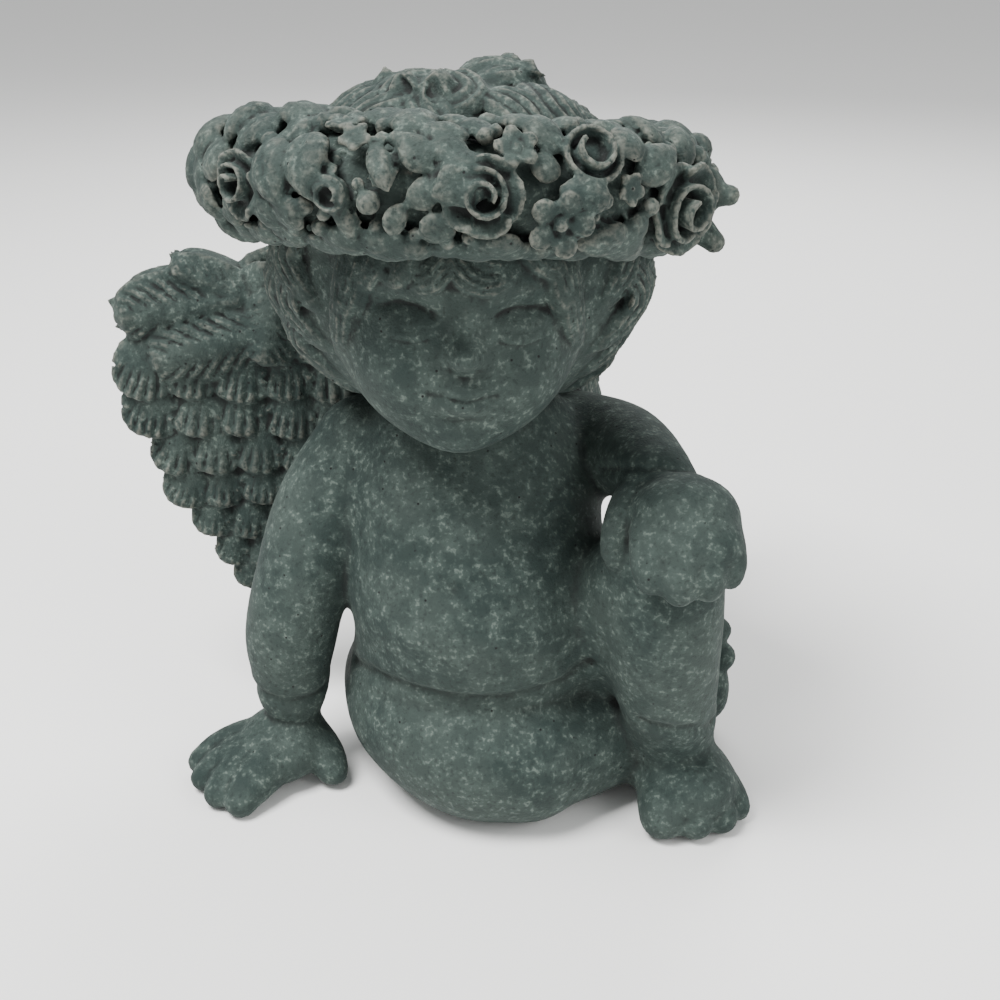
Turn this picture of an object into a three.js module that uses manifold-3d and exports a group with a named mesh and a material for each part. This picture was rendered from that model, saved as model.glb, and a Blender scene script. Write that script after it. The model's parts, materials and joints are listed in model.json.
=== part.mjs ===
// A seated putto with a wide wreath of roses: one solid garden casting, flat underneath.
// Millimetres, +Z up. The face looks along -Y, and the origin is the middle of the footprint, on the ground.
// Left and right are the figure's own: its right arm is on the -X side.
import * as THREE from "three";
import { mergeVertices } from "three/addons/utils/BufferGeometryUtils.js";
import Module from "manifold-3d";

const wasm = await Module();
wasm.setup();

// ---------------------------------------------------------------- driving dimensions
const STONE = { color: 0x56635d, roughness: 0.9, metalness: 0 };
const TO_CENTRE = [30.5, -18.2, 0]; // moves the figure so that the origin is under the middle of its box
const HEAD = { at: [-13, -12, 190], size: [43, 44, 51], turned: [0, 3, 4] };
// relief: how deep the grooves between locks are. wind: degrees that the locks wave to and fro.
// broad: below 1 it makes the top fuller than an egg's
const HAIR = { at: [-13, 4, 192], size: [63, 53, 63], locks: 13, relief: 8, wind: 30, broad: 0.85 };
// tip: degrees that the front of the wreath is raised. lean: degrees that its right side is raised
const WREATH = { at: [-13, -5, 218], ring: 62, across: 18, high: 19, tip: 10, lean: 2 };
const LEAF = { length: 20, width: 11, thick: 5 };
// root: where the wing leaves the back. span: its direction outwards. reach: its length along the span.
// rows: rows of short feathers. across: how many of them are side by side in a row
const RIGHT_WING = { root: [-36, 34, 0], span: [-1, 0.1, 0], reach: 115, face: 1, rows: 7, across: 4 };
const LEFT_WING = { root: [20, 34, 0], span: [0.14, 1, 0], reach: 96, face: -1, rows: 5, across: 3 };
// relief: how far a short feather stands out. hang: how far its tip hangs down
const WING = { thick: 8, camber: 7, relief: 4, hang: 5 };
// places: share of the reach, height, heading and size of each long feather
const LONG_FEATHER = {
  width: 24,
  length: 38,
  thick: 6,
  tilt: 9,
  places: [[0.46, 162, 46, 0.8], [0.52, 158, 4, 1.05], [0.36, 153, -8, 1.15], [0.2, 166, -52, 1]],
};

const TURN = Math.PI * 2;
const UP = new THREE.Vector3(0, 0, 1);
const radians = THREE.MathUtils.degToRad;
const lerp = THREE.MathUtils.lerp;
const vector = (p) => new THREE.Vector3(...p);
const steps = (count) => [...Array(count).keys()];

// ---------------------------------------------------------------- solids
// A closed geometry as a solid that can be joined and cut.
function solid(geometry) {
  const bare = new THREE.BufferGeometry();
  bare.setAttribute("position", geometry.getAttribute("position"));
  bare.setIndex(geometry.index);
  const merged = mergeVertices(bare, 1e-4);
  return new wasm.Manifold(
    new wasm.Mesh({
      numProp: 3,
      vertProperties: new Float32Array(merged.attributes.position.array),
      triVerts: new Uint32Array(merged.index.array),
    }),
  );
}

const join = (solids) => solids.reduce((whole, next) => whole.add(next));

function turnOf(turned) {
  return new THREE.Quaternion().setFromEuler(new THREE.Euler(...turned.map(radians)));
}

// An ellipsoid: its centre, its three half sizes, and its turn in degrees about X, Y and Z.
function ball(at, size, turned = [0, 0, 0], detail = 2) {
  const place = new THREE.Matrix4().compose(vector(at), turnOf(turned), vector(size));
  return solid(new THREE.IcosahedronGeometry(1, detail).applyMatrix4(place));
}

// The points of an oval ring. It may be scalloped: wave is the share that it falls back between its lobes.
function oval({ middle, radius, side, up, wave = 0 }, sides, lobes = 0) {
  return steps(sides).map((k) => {
    const angle = (k / sides) * TURN;
    const reach = radius * (1 - wave * (1 - Math.abs(Math.cos((lobes * angle) / 2))));
    const p = middle.clone().addScaledVector(side, Math.cos(angle) * reach);
    return p.addScaledVector(up, Math.sin(angle) * reach);
  });
}

// A closed surface over rings of as many points each. The first and the last ring are drawn in to a point.
function surface(rings) {
  const sides = rings[0].length;
  const points = rings.flat().flatMap((p) => p.toArray());
  const faces = [];
  for (const i of steps(rings.length - 1)) {
    for (const k of steps(sides)) {
      const a = i * sides + k;
      const b = i * sides + ((k + 1) % sides);
      if (i > 0) faces.push(a, b, b + sides);
      if (i + 2 < rings.length) faces.push(a, b + sides, a + sides);
    }
  }
  const geometry = new THREE.BufferGeometry();
  geometry.setAttribute("position", new THREE.Float32BufferAttribute(points, 3));
  geometry.setIndex(faces);
  return geometry;
}

const skin = (rings, sides, lobes = 0) => surface(rings.map((ring) => oval(ring, sides, lobes)));

// A round limb on a smooth line through stations of [x, y, z, radius]. Its ends are domed or pointed.
function limb(stations, sides = 12, parts = 8, domed = true) {
  const line = new THREE.CatmullRomCurve3(stations.map(([x, y, z]) => vector([x, y, z])));
  const sizes = new THREE.CatmullRomCurve3(stations.map((s, i) => vector([s[3], i, 0])));
  const frames = line.computeFrenetFrames(parts, false);
  const rings = [];
  const addRing = (i, slide, shrink) => {
    const radius = sizes.getPoint(i / parts).x;
    const middle = line.getPointAt(i / parts).addScaledVector(frames.tangents[i], slide * radius);
    rings.push({ middle, radius: radius * shrink, side: frames.normals[i], up: frames.binormals[i] });
  };
  addRing(0, -1, 0);
  if (domed) addRing(0, -Math.SQRT1_2, Math.SQRT1_2);
  for (const i of steps(parts + 1)) addRing(i, 0, 1);
  if (domed) addRing(parts, Math.SQRT1_2, Math.SQRT1_2);
  addRing(parts, 1, 0);
  return solid(skin(rings, sides));
}

// A trunk through level ovals of [x, y, z, half width, half depth], from the bottom up, turned about Z.
function trunk(ovals, turn, sides) {
  const side = new THREE.Vector3(Math.cos(turn), Math.sin(turn), 0);
  const back = new THREE.Vector3(-Math.sin(turn), Math.cos(turn), 0);
  const rings = ovals.map(([x, y, z, wide, deep]) => ({
    middle: vector([x, y, z]),
    radius: wide,
    side,
    up: back.clone().multiplyScalar(wide ? deep / wide : 1),
  }));
  const first = { ...rings[0], radius: 0 };
  const last = { ...rings.at(-1), radius: 0 };
  return solid(skin([first, ...rings, last], sides));
}

// The placing of a shape whose X runs along and whose Z points out of a surface.
function placing(at, along, out) {
  const z = out.clone().normalize();
  const y = z.clone().cross(along).normalize();
  return new THREE.Matrix4().makeBasis(y.clone().cross(z), y, z).setPosition(at);
}

// A leaf, petal or feather: a thin blade along X, with a ridge down its middle.
// Each station of the outline is a share of the length and a share of the width.
const LEAF_SHAPE = [[0, 0], [0.3, 0.85], [0.62, 0.8], [1, 0]];
const ROUND_SHAPE = [[0, 0], [0.4, 0.9], [0.86, 0.8], [1, 0]];
function blade(place, length, width, thick, outline = LEAF_SHAPE) {
  const rings = outline.map(([along, broad]) => ({
    middle: vector([along * length, 0, 0]),
    radius: (broad * width) / 2,
    side: vector([0, 1, 0]),
    up: vector([0, 0, thick / width]),
  }));
  return solid(skin(rings, 4).applyMatrix4(place));
}

// ---------------------------------------------------------------- body
const body = () => [
  trunk(
    [
      [-3, 12, -9, 40, 30],
      [-3, 12, 9, 54, 44],
      [-4, 7, 36, 52, 46],
      [-6, -6, 60, 46, 46],
      [-7, -10, 78, 46, 45],
      [-8, -6, 98, 44, 40],
      [-9, 0, 118, 44, 35],
      [-10, 4, 134, 36, 28],
      [-11, 5, 150, 24, 22],
    ],
    radians(14),
    20,
  ),
];

const rightArm = () => [
  limb([[-46, 9, 121, 20], [-60, -1, 103, 19], [-69, -8, 80, 17.5], [-75, -10, 56, 17], [-76, -8, 32, 13]], 11, 6),
  ball([-80, -15, 13], [18, 19, 12], [16, 0, -25], 1), // back of the hand
  limb([[-90, -10, 13, 6.5], [-105, -3, 9, 6], [-113, -2, 4, 5]], 6, 2), // little finger
  limb([[-92, -18, 12, 6.5], [-102, -18, 9, 6.5], [-108, -19, 4, 5.5]], 6, 2),
  limb([[-88, -24, 12, 7], [-95, -29, 9, 7], [-100, -32, 4, 6]], 6, 2),
  limb([[-80, -26, 12, 7], [-85, -34, 9, 7.5], [-89, -38, 4, 6.5]], 6, 2), // first finger
  limb([[-70, -12, 13, 8], [-63, -19, 9, 7.5], [-60, -23, 5, 6]], 6, 2), // thumb
];

const leftArm = () => [
  limb([[28, 22, 118, 19], [40, 8, 122, 17], [46, -10, 125, 15.5], [51, -28, 126, 13]], 10, 5),
  ball([54, -45, 120], [21, 21, 15], [-20, 0, 4], 1), // back of the hand
  limb([[41, -57, 123, 6.5], [41, -65, 117, 7], [42, -67, 112, 5.6]], 6, 2), // first finger
  limb([[50, -59, 123, 7], [50, -68, 116, 7.2], [51, -70, 109, 6]], 6, 2),
  limb([[59, -58, 122, 7], [60, -67, 115, 7], [61, -68, 108, 6]], 6, 2),
  limb([[66, -53, 120, 6.5], [68, -61, 114, 6.5], [69, -62, 109, 5.5]], 6, 2), // little finger
  limb([[40, -34, 122, 7.5], [35, -44, 116, 7], [34, -50, 107, 5.5]], 6, 2), // thumb
];

const foldedLeg = () => [
  limb([[-31, 4, 30, 28], [-26, -14, 30, 29], [-8, -32, 26, 28], [8, -34, 24, 26]], 11, 5), // thigh
  limb([[2, -32, 24, 26], [24, -26, 23, 23], [48, -10, 20, 19], [66, 8, 17, 14]], 11, 4), // shin
  ball([74, 16, 20], [14, 18, 20], [0, 0, 30], 1), // foot on its outer side
  limb([[76, 14, 44, 7], [81, 12, 46, 6.5]], 6, 1), // big toe
  limb([[78, 14, 33, 6.2], [84, 11, 34, 5.8]], 5, 1),
  limb([[76, 13, 24, 5.6], [82, 10, 24, 5.2]], 5, 1),
  limb([[75, 13, 15, 5], [80, 10, 15, 4.8]], 5, 1),
];

const raisedLeg = () => [
  limb([[24, 6, 34, 26], [38, -16, 66, 25], [50, -38, 94, 21], [53, -44, 106, 17]], 11, 4), // thigh
  limb([[54, -42, 104, 19.5], [54, -44, 82, 20], [56, -40, 58, 18.5], [61, -31, 30, 15]], 11, 4), // shin
  ball([65, -37, 13], [19, 25, 15], [-8, 0, 16]), // foot
  limb([[57, -44, 10, 9], [57, -52, 8, 8.5]], 7, 1), // big toe
  limb([[68, -46, 9, 7.2], [68, -53, 7, 6.8]], 5, 1),
  limb([[76, -42, 8, 6.6], [77, -49, 6, 6.2]], 5, 1),
  limb([[82, -36, 7, 6], [84, -42, 5.5, 5.6]], 5, 1),
];

// ---------------------------------------------------------------- head
// Swellings of the face: where on the head, how wide and high, and how far out.
const FACE = [
  { at: [0, -43], size: [14, 9], out: 6 }, // chin
  { at: [-22, -22], size: [15, 14], out: 5 }, // cheeks
  { at: [22, -22], size: [15, 14], out: 5 },
  { at: [0, -24], size: [13, 9], out: 3 }, // mouth
  { at: [0, 14], size: [30, 12], out: 2 }, // brow
  { at: [-17, -4], size: [9, 6], out: -3.5 }, // eye hollows
  { at: [17, -4], size: [9, 6], out: -3.5 },
];
const JAW = 15; // how far the jaw lies in front of a plain egg

const onHead = (x, y, z) => vector([x, y, z]).applyQuaternion(turnOf(HEAD.turned)).add(vector(HEAD.at)).toArray();

// How far forward the face is at a place on it, seen from the front.
function faceAt(x, z) {
  const [wide, deep, high] = HEAD.size;
  let y = -deep * Math.sqrt(Math.max(0, 1 - (x / wide) ** 2 - (z / high) ** 2));
  y -= JAW * THREE.MathUtils.smoothstep(-z, 5, high);
  for (const { at, size, out } of FACE) {
    y -= out * Math.exp(-(((x - at[0]) / size[0]) ** 2) - ((z - at[1]) / size[1]) ** 2);
  }
  return y;
}

function head() {
  const geometry = new THREE.IcosahedronGeometry(1, 5);
  const place = geometry.getAttribute("position");
  for (const i of steps(place.count)) {
    const p = vector(HEAD.size).multiply(new THREE.Vector3().fromBufferAttribute(place, i));
    const front = THREE.MathUtils.smoothstep(-p.y, -6, 24);
    p.y = lerp(p.y, faceAt(p.x, p.z), front);
    place.setXYZ(i, ...onHead(p.x, p.y, p.z));
  }
  const feature = (x, z, out, size, detail = 1) => ball(onHead(x, faceAt(x, z) - out, z), size, [0, 0, 0], detail);
  return [
    solid(geometry),
    feature(0, -13, 1.5, [7, 6, 4.4]), // nose
    feature(-17, -5, -3, [7.5, 5, 3.8]), // eyes
    feature(17, -5, -3, [7.5, 5, 3.8]),
    feature(0, -24, -1, [8, 3.6, 2.1]), // lips
    feature(0, -28, -1, [6.5, 3.6, 2.4]),
  ];
}

// A point over an egg: down is degrees from its top, around is degrees from its front towards the left.
function onEgg(egg, down, around, lift = 0) {
  const d = radians(down);
  const a = radians(around);
  const out = new THREE.Vector3(Math.sin(d) * Math.sin(a), -Math.sin(d) * Math.cos(a), Math.cos(d));
  return out.clone().multiply(vector(egg.size)).addScaledVector(out, lift).add(vector(egg.at));
}

// A lock of hair lying on an egg, through places of [down, around], thickest in its middle.
function lock(egg, places, size) {
  const swell = [0.6, 1, 0.9, 0.35];
  const stations = places.map(([down, around], i) => [...onEgg(egg, down, around).toArray(), size * swell[i]]);
  return limb(stations, 5, 3, false);
}

// The whole head of hair as one egg, with locks that wind down it from the crown to the nape.
function cap() {
  const rows = 8;
  const rings = [];
  for (const i of steps(rows + 1)) {
    const down = 180 - (i / rows) * 178;
    const [wide, deep, high] = HAIR.size;
    const across = Math.sin(radians(down)) ** (down < 90 ? HAIR.broad : 1);
    const twist = radians(HAIR.wind * Math.sin(radians(down * 2.4)) + down * 0.5);
    rings.push({
      middle: vector([0, 0, high * Math.cos(radians(down))]).add(vector(HAIR.at)),
      radius: i && i < rows ? across : 0,
      side: vector([wide * Math.cos(twist), deep * Math.sin(twist), 0]),
      up: vector([-wide * Math.sin(twist), deep * Math.cos(twist), 0]),
      wave: (HAIR.relief / wide) * Math.min(1, across * 2),
    });
  }
  return solid(skin(rings, HAIR.locks * 4, HAIR.locks));
}

function hair() {
  const pieces = [cap()];
  for (const side of [-1, 1]) {
    for (const i of steps(3)) {
      const a = side * (9 + i * 19);
      const drop = 88 + i * 7;
      pieces.push(lock(HEAD, [[66, a], [74, a + side * 5], [drop - 4, a + side * 12], [drop, a + side * 5]], 5)); // forehead
    }
  }
  return pieces;
}

// ---------------------------------------------------------------- wreath
const tipped = turnOf([-WREATH.tip, WREATH.lean, 0]);

// A place on the wreath: around is degrees from the front towards the left, over is degrees up from its rim.
function onWreath(around, over, lift = 0) {
  const a = radians(around);
  const o = radians(over);
  const rim = new THREE.Vector3(Math.sin(a), -Math.cos(a), 0);
  const out = rim.clone().multiplyScalar(Math.cos(o)).addScaledVector(UP, Math.sin(o));
  const at = rim.clone().multiplyScalar(WREATH.ring + (WREATH.across + lift) * Math.cos(o));
  at.z = (WREATH.high + lift) * Math.sin(o);
  return {
    at: at.applyQuaternion(tipped).add(vector(WREATH.at)),
    out: out.applyQuaternion(tipped),
    along: new THREE.Vector3(Math.cos(a), Math.sin(a), 0).applyQuaternion(tipped),
  };
}

// Turned profiles of flowers, from their underside over the rim to the middle: [radius, height, wave].
const ROSE_RINGS = [
  [0, -0.6, 0], [1, 0.15, 0.14], [0.74, 0.2, 0], [0.62, 0.55, 0.1], [0.36, 0.25, 0], [0, 0.6, 0],
];
const DAISY_RINGS = [[0, -0.5, 0], [1, 0.1, 0.4], [0.3, 0.05, 0], [0, 0.35, 0]];

function bloom(around, over, radius, rings, sides, petals) {
  const spot = onWreath(around, over);
  const flower = rings.map(([share, height, wave]) => ({
    middle: vector([0, 0, height * radius]),
    radius: share * radius,
    side: vector([1, 0, 0]),
    up: vector([0, 1, 0]),
    wave,
  }));
  return solid(skin(flower, sides, petals).applyMatrix4(placing(spot.at, spot.along, spot.out)));
}

const rose = (around, over, radius) => bloom(around, over, radius, ROSE_RINGS, 8, 4);
const daisy = (around, over, radius) => bloom(around, over, radius, DAISY_RINGS, 20, 5);

function leaf(around, over, heading, size = 1) {
  const spot = onWreath(around, over, -1);
  const along = spot.along.clone().applyAxisAngle(spot.out, radians(heading));
  const up = spot.out.clone().addScaledVector(along, -0.12);
  return blade(placing(spot.at, along, up), LEAF.length * size, LEAF.width * size, LEAF.thick * size);
}

function bud(around, over, length, radius) {
  const spot = onWreath(around, over, 0);
  const tip = onWreath(around, over, length);
  return limb([[...spot.at.toArray(), radius], [...tip.at.toArray(), radius * 0.9]], 6, 1, false);
}

function ring() {
  const profile = steps(9).map((i) => {
    const angle = ((i % 8) / 8) * TURN;
    return new THREE.Vector2(WREATH.ring + WREATH.across * Math.cos(angle), WREATH.high * Math.sin(angle));
  });
  const round = new THREE.LatheGeometry(profile, 24).rotateX(Math.PI / 2);
  const place = new THREE.Matrix4().compose(vector(WREATH.at), tipped, new THREE.Vector3(1, 1, 1));
  return solid(round.applyMatrix4(place));
}

function wreath() {
  const pad = [WREATH.ring + 4, WREATH.ring + 4, WREATH.high - 3]; // between the ring and the hair
  const pieces = [ring(), ball(WREATH.at, pad, [-WREATH.tip, WREATH.lean, 0])];
  const roses = [
    [-62, 2, 11], [-34, 4, 8], [4, 0, 13], [32, 38, 12], [58, -4, 15], [98, 14, 13],
    [145, 8, 13], [-160, 14, 13], [-112, 6, 13],
  ];
  for (const [around, over, radius] of roses) pieces.push(rose(around, over, radius));
  for (const [around, over, radius] of [[20, -10, 13], [-14, 42, 10], [118, 30, 12], [-138, 34, 12]])
    pieces.push(daisy(around, over, radius));
  for (const i of steps(8)) pieces.push(leaf(i * 45 - 14, i % 2 ? 48 : -26, i % 2 ? 20 : 175, 1 + 0.2 * (i % 3)));
  for (const i of steps(5)) pieces.push(bud(i * 72 + 16, 56, 1, 7));
  pieces.push(bud(80, -2, 6, 5), bud(74, -34, 9, 5)); // two buds that stand out on the left
  return pieces;
}

// ---------------------------------------------------------------- wings
// Where a wing's surface is: along the span, up, and a distance in front of the middle of its thickness.
function onWing({ root, span, reach, face }, along, height, front) {
  const outwards = vector(span).normalize();
  const normal = UP.clone().cross(outwards).multiplyScalar(face);
  return vector(root)
    .addScaledVector(outwards, along)
    .addScaledVector(normal, front + WING.camber * (along / reach) ** 2)
    .setZ(height);
}

// How far a wing reaches at a height, as a share of its whole reach.
const EDGE = new THREE.SplineCurve(
  [[0.3, 46], [0.54, 60], [0.76, 86], [0.92, 112], [0.97, 132], [0.92, 152], [0.78, 166], [0.52, 173]].map(
    ([share, height]) => new THREE.Vector2(share, height),
  ),
);
const edgeAt = (share) => EDGE.getPoint(share);

// A level slice through a wing: across its front from the root to the edge and back across its back.
// Each feather stands out most in its middle and hangs lowest there.
function slice(side, share, spread, relief, stagger) {
  const edge = edgeAt(share);
  const half = WING.thick / 2;
  const place = (u, feathers, turned) => {
    const crest = Math.abs(Math.cos(Math.PI * (u * feathers + stagger)));
    const along = u * edge.x * side.reach * spread;
    const out = (half + relief * lerp(0.4, 1, crest)) * (u < 1 ? 1 : 0.5);
    return onWing(side, along, edge.y - WING.hang * crest, turned * out);
  };
  const front = side.across * 4;
  const back = side.across * 2 - 2;
  const out = steps(front).map((k) => place(k / front, side.across, 1));
  const home = steps(back).map((k) => place(1 - k / back, side.across - 1, -1));
  return side.face > 0 ? [...out, ...home].reverse() : [...out, ...home];
}

function plumage(side) {
  const rings = [slice(side, 0, 1, 0, 0)];
  for (const row of steps(side.rows)) {
    const stagger = (row % 2) * 0.5;
    const share = 0.04 + (row / side.rows) * 0.9;
    rings.push(slice(side, share, 1.03, WING.relief, stagger));
    rings.push(slice(side, share + 0.9 / side.rows - 0.02, 0.96, 0, 0.5 - stagger));
  }
  rings.push(slice(side, 1, 0.8, 0, 0));
  const ends = [rings[0], rings.at(-1)].map((ring) => {
    const middle = ring.reduce((sum, p) => sum.add(p), new THREE.Vector3()).divideScalar(ring.length);
    return ring.map(() => middle);
  });
  return solid(surface([ends[0], ...rings, ends[1]]));
}

// A long feather on the front or the back of a wing: its heading turns upwards from straight out.
function longFeather(side, back, [share, height, heading, scale]) {
  const along = share * side.reach;
  const front = (WING.thick / 2 + 1) * (back ? -1 : 1);
  const at = onWing(side, along, height, front);
  const a = radians(heading);
  const tip = onWing(side, along + Math.cos(a), height + Math.sin(a), front);
  const out = onWing(side, along, height, front + (back ? -1 : 1)).sub(at);
  const way = tip.sub(at).normalize();
  const tilt = Math.tan(radians(LONG_FEATHER.tilt));
  const { length, width, thick } = LONG_FEATHER;
  const place = placing(at, way, out.addScaledVector(way, -tilt));
  return blade(place, length * scale, width * scale, thick, ROUND_SHAPE);
}

function wing(side) {
  const fan = LONG_FEATHER.places;
  const front = fan.map((place) => longFeather(side, false, place));
  const behind = fan.slice(0, 2).map((place) => longFeather(side, true, place));
  return [plumage(side), ...front, ...behind];
}

// ---------------------------------------------------------------- the casting
const figure = join([
  ...body(),
  ...rightArm(),
  ...leftArm(),
  ...foldedLeg(),
  ...raisedLeg(),
  ...head(),
  ...hair(),
  ...wreath(),
  ...wing(RIGHT_WING),
  ...wing(LEFT_WING),
]);
const ground = solid(new THREE.BoxGeometry(600, 600, 100).translate(0, 0, -50));
const cast = figure.subtract(ground).getMesh();

const geometry = new THREE.BufferGeometry();
geometry.setAttribute("position", new THREE.BufferAttribute(new Float32Array(cast.vertProperties), 3));
geometry.setIndex(new THREE.BufferAttribute(new Uint32Array(cast.triVerts), 1));
geometry.computeVertexNormals();

const putto = new THREE.Mesh(geometry, new THREE.MeshStandardMaterial(STONE));
putto.name = "putto_statue";
putto.position.set(...TO_CENTRE);

const statue = new THREE.Group();
statue.add(putto);

export default statue;
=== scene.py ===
"""A cast stone putto with a wide wreath of roses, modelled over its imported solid.

The figure is shaped in millimetres about its own seat, with its face towards -Y, and is moved
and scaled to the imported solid's frame, in metres, when it is finished.
"""

import json
import logging
import math
from dataclasses import dataclass, field
from enum import Enum
from functools import partial

import bpy
import numpy as np
from mathutils import Euler, Matrix, Vector

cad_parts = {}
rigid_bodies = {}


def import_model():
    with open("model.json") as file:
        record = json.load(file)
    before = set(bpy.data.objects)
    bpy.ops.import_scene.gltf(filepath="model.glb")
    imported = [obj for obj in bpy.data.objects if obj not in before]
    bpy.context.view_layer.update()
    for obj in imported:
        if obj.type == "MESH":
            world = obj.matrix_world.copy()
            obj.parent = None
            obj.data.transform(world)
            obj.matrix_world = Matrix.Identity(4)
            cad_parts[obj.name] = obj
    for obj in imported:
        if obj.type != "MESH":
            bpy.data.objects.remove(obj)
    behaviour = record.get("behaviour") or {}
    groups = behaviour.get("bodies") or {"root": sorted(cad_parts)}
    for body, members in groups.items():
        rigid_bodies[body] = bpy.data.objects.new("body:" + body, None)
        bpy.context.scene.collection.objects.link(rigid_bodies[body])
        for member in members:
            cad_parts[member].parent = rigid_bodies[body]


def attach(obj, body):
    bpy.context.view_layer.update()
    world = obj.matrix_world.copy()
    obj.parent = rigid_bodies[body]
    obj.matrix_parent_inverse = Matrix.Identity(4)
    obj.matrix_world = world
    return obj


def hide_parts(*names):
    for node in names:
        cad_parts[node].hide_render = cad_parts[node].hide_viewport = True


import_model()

logging.basicConfig(level=logging.INFO, format="%(message)s")
log = logging.getLogger("putto")

NODE = "putto_statue"
MM = 0.001
TO_CENTRE = np.array([30.5, -18.2, 0.0])

Point = tuple[float, float, float]
Station = tuple[float, float, float, float]


# ---------------------------------------------------------------- making meshes
def deselect() -> None:
    """Deselect every object."""
    bpy.ops.object.select_all(action="DESELECT")


def only(piece: bpy.types.Object) -> None:
    """Select one object and make it active.

    Args:
        piece: the object.
    """
    deselect()
    piece.select_set(True)
    bpy.context.view_layer.objects.active = piece


def egg(at: Point, size: Point, turned: Point = (0, 0, 0), rings: int = 24) -> bpy.types.Object:
    """Add an ellipsoid.

    Args:
        at: its middle.
        size: its half sizes.
        turned: its turn in degrees about X, Y and Z.
        rings: how many rings of faces it has.

    Returns:
        The new mesh object.
    """
    bpy.ops.mesh.primitive_uv_sphere_add(
        segments=rings * 2, ring_count=rings, radius=1, location=at, scale=size
    )
    piece = bpy.context.object
    piece.rotation_euler = Euler([math.radians(a) for a in turned])
    bpy.ops.object.transform_apply(location=True, rotation=True, scale=True)
    return piece


def tubes(lines: list[list[Station]], sides: int = 3, smooth: int = 4) -> bpy.types.Object:
    """Add round tubes along smooth lines, as one mesh.

    Args:
        lines: for each tube its stations of x, y, z and radius.
        sides: how finely each tube is rounded.
        smooth: how many rings lie between two stations.

    Returns:
        The new mesh object.
    """
    bpy.ops.curve.primitive_bezier_curve_add()
    piece = bpy.context.object
    curve = piece.data
    curve.splines.clear()
    for line in lines:
        spline = curve.splines.new("BEZIER")
        spline.bezier_points.add(len(line) - 1)
        for knot, (x, y, z, radius) in zip(spline.bezier_points, line):
            knot.co = (x, y, z)
            knot.radius = radius
            knot.handle_left_type = knot.handle_right_type = "AUTO"
    curve.bevel_depth = 1.0
    curve.bevel_resolution = sides
    curve.resolution_u = smooth
    curve.use_fill_caps = True
    only(piece)
    bpy.ops.object.convert(target="MESH")
    return bpy.context.object


def limb(stations: list[Station]) -> list[bpy.types.Object]:
    """Add a limb as a round tube with a ball at each end.

    Args:
        stations: its places and radii, x, y, z and radius.

    Returns:
        The new mesh objects.
    """
    ends = [egg(s[:3], (s[3],) * 3, rings=16) for s in (stations[0], stations[-1])]
    return [tubes([stations], sides=6, smooth=10), *ends]


def join(pieces: list[bpy.types.Object], name: str) -> bpy.types.Object:
    """Join meshes into one object.

    Args:
        pieces: the objects, the first of which stays.
        name: the name of the result.

    Returns:
        The joined object.
    """
    deselect()
    for piece in pieces:
        piece.select_set(True)
    bpy.context.view_layer.objects.active = pieces[0]
    if len(pieces) > 1:
        bpy.ops.object.join()
    whole = bpy.context.object
    whole.name = name
    return whole


def modify(piece: bpy.types.Object, kind: str, **settings: object) -> None:
    """Add a modifier with its settings and apply it.

    Args:
        piece: the object.
        kind: the modifier's type.
        settings: its properties.
    """
    only(piece)
    modifier = piece.modifiers.new(kind.title(), kind)
    for key, value in settings.items():
        setattr(modifier, key, value)
    bpy.ops.object.modifier_apply(modifier=modifier.name)


def points_of(piece: bpy.types.Object) -> np.ndarray:
    """Return an object's points as rows of x, y and z.

    Args:
        piece: the object.

    Returns:
        One row for each point.
    """
    points = np.empty(len(piece.data.vertices) * 3)
    piece.data.vertices.foreach_get("co", points)
    return points.reshape(-1, 3)


def normals_of(piece: bpy.types.Object) -> np.ndarray:
    """Return the normals at an object's points.

    Args:
        piece: the object.

    Returns:
        One row for each point.
    """
    normals = np.empty(len(piece.data.vertices) * 3)
    piece.data.vertices.foreach_get("normal", normals)
    return normals.reshape(-1, 3)


def set_points(piece: bpy.types.Object, points: np.ndarray) -> None:
    """Move an object's points."""
    piece.data.vertices.foreach_set("co", points.ravel())
    piece.data.update()


def smoothed(piece: bpy.types.Object, rounds: int) -> np.ndarray:
    """Return an object's points after each has been drawn towards its neighbours.

    Args:
        piece: the object.
        rounds: how many times.

    Returns:
        The points, which the object itself doesn't take.
    """
    mesh = piece.data
    edges = np.empty(len(mesh.edges) * 2, dtype=np.int64)
    mesh.edges.foreach_get("vertices", edges)
    a, b = edges.reshape(-1, 2).T
    count = len(mesh.vertices)
    share = 1.0 / np.maximum(np.bincount(a, minlength=count) + np.bincount(b, minlength=count), 1)
    points = points_of(piece)
    for _ in range(rounds):
        mean = np.empty_like(points)
        for axis in range(3):
            column = points[:, axis]
            mean[:, axis] = np.bincount(a, column[b], count) + np.bincount(b, column[a], count)
        points = 0.5 * points + 0.5 * mean * share[:, None]
    return points


def merged(template: bpy.types.Object, clouds: list[np.ndarray]) -> bpy.types.Object:
    """Make one mesh of a template's faces over several sets of points, and delete the template.

    Args:
        template: the object whose faces are repeated.
        clouds: for each copy its own points, in the template's order.

    Returns:
        The mesh object of all the copies.
    """
    faces = [tuple(face.vertices) for face in template.data.polygons]
    count = len(template.data.vertices)
    starts = [number * count for number in range(len(clouds))]
    every = [tuple(i + start for i in face) for start in starts for face in faces]
    mesh = bpy.data.meshes.new(template.name)
    mesh.from_pydata(np.vstack(clouds).tolist(), [], every)
    only(template)
    bpy.ops.object.duplicate()
    result = bpy.context.object
    result.data = mesh
    bpy.data.objects.remove(template)
    return result


def copies(template: bpy.types.Object, places: list[Matrix]) -> bpy.types.Object:
    """Copy a template to each place, as one mesh.

    Args:
        template: the object that is repeated.
        places: where each copy goes.

    Returns:
        The mesh object of all the copies.
    """
    points = points_of(template)
    turns = [np.array(place) for place in places]
    return merged(template, [points @ turn[:3, :3].T + turn[:3, 3] for turn in turns])


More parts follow.
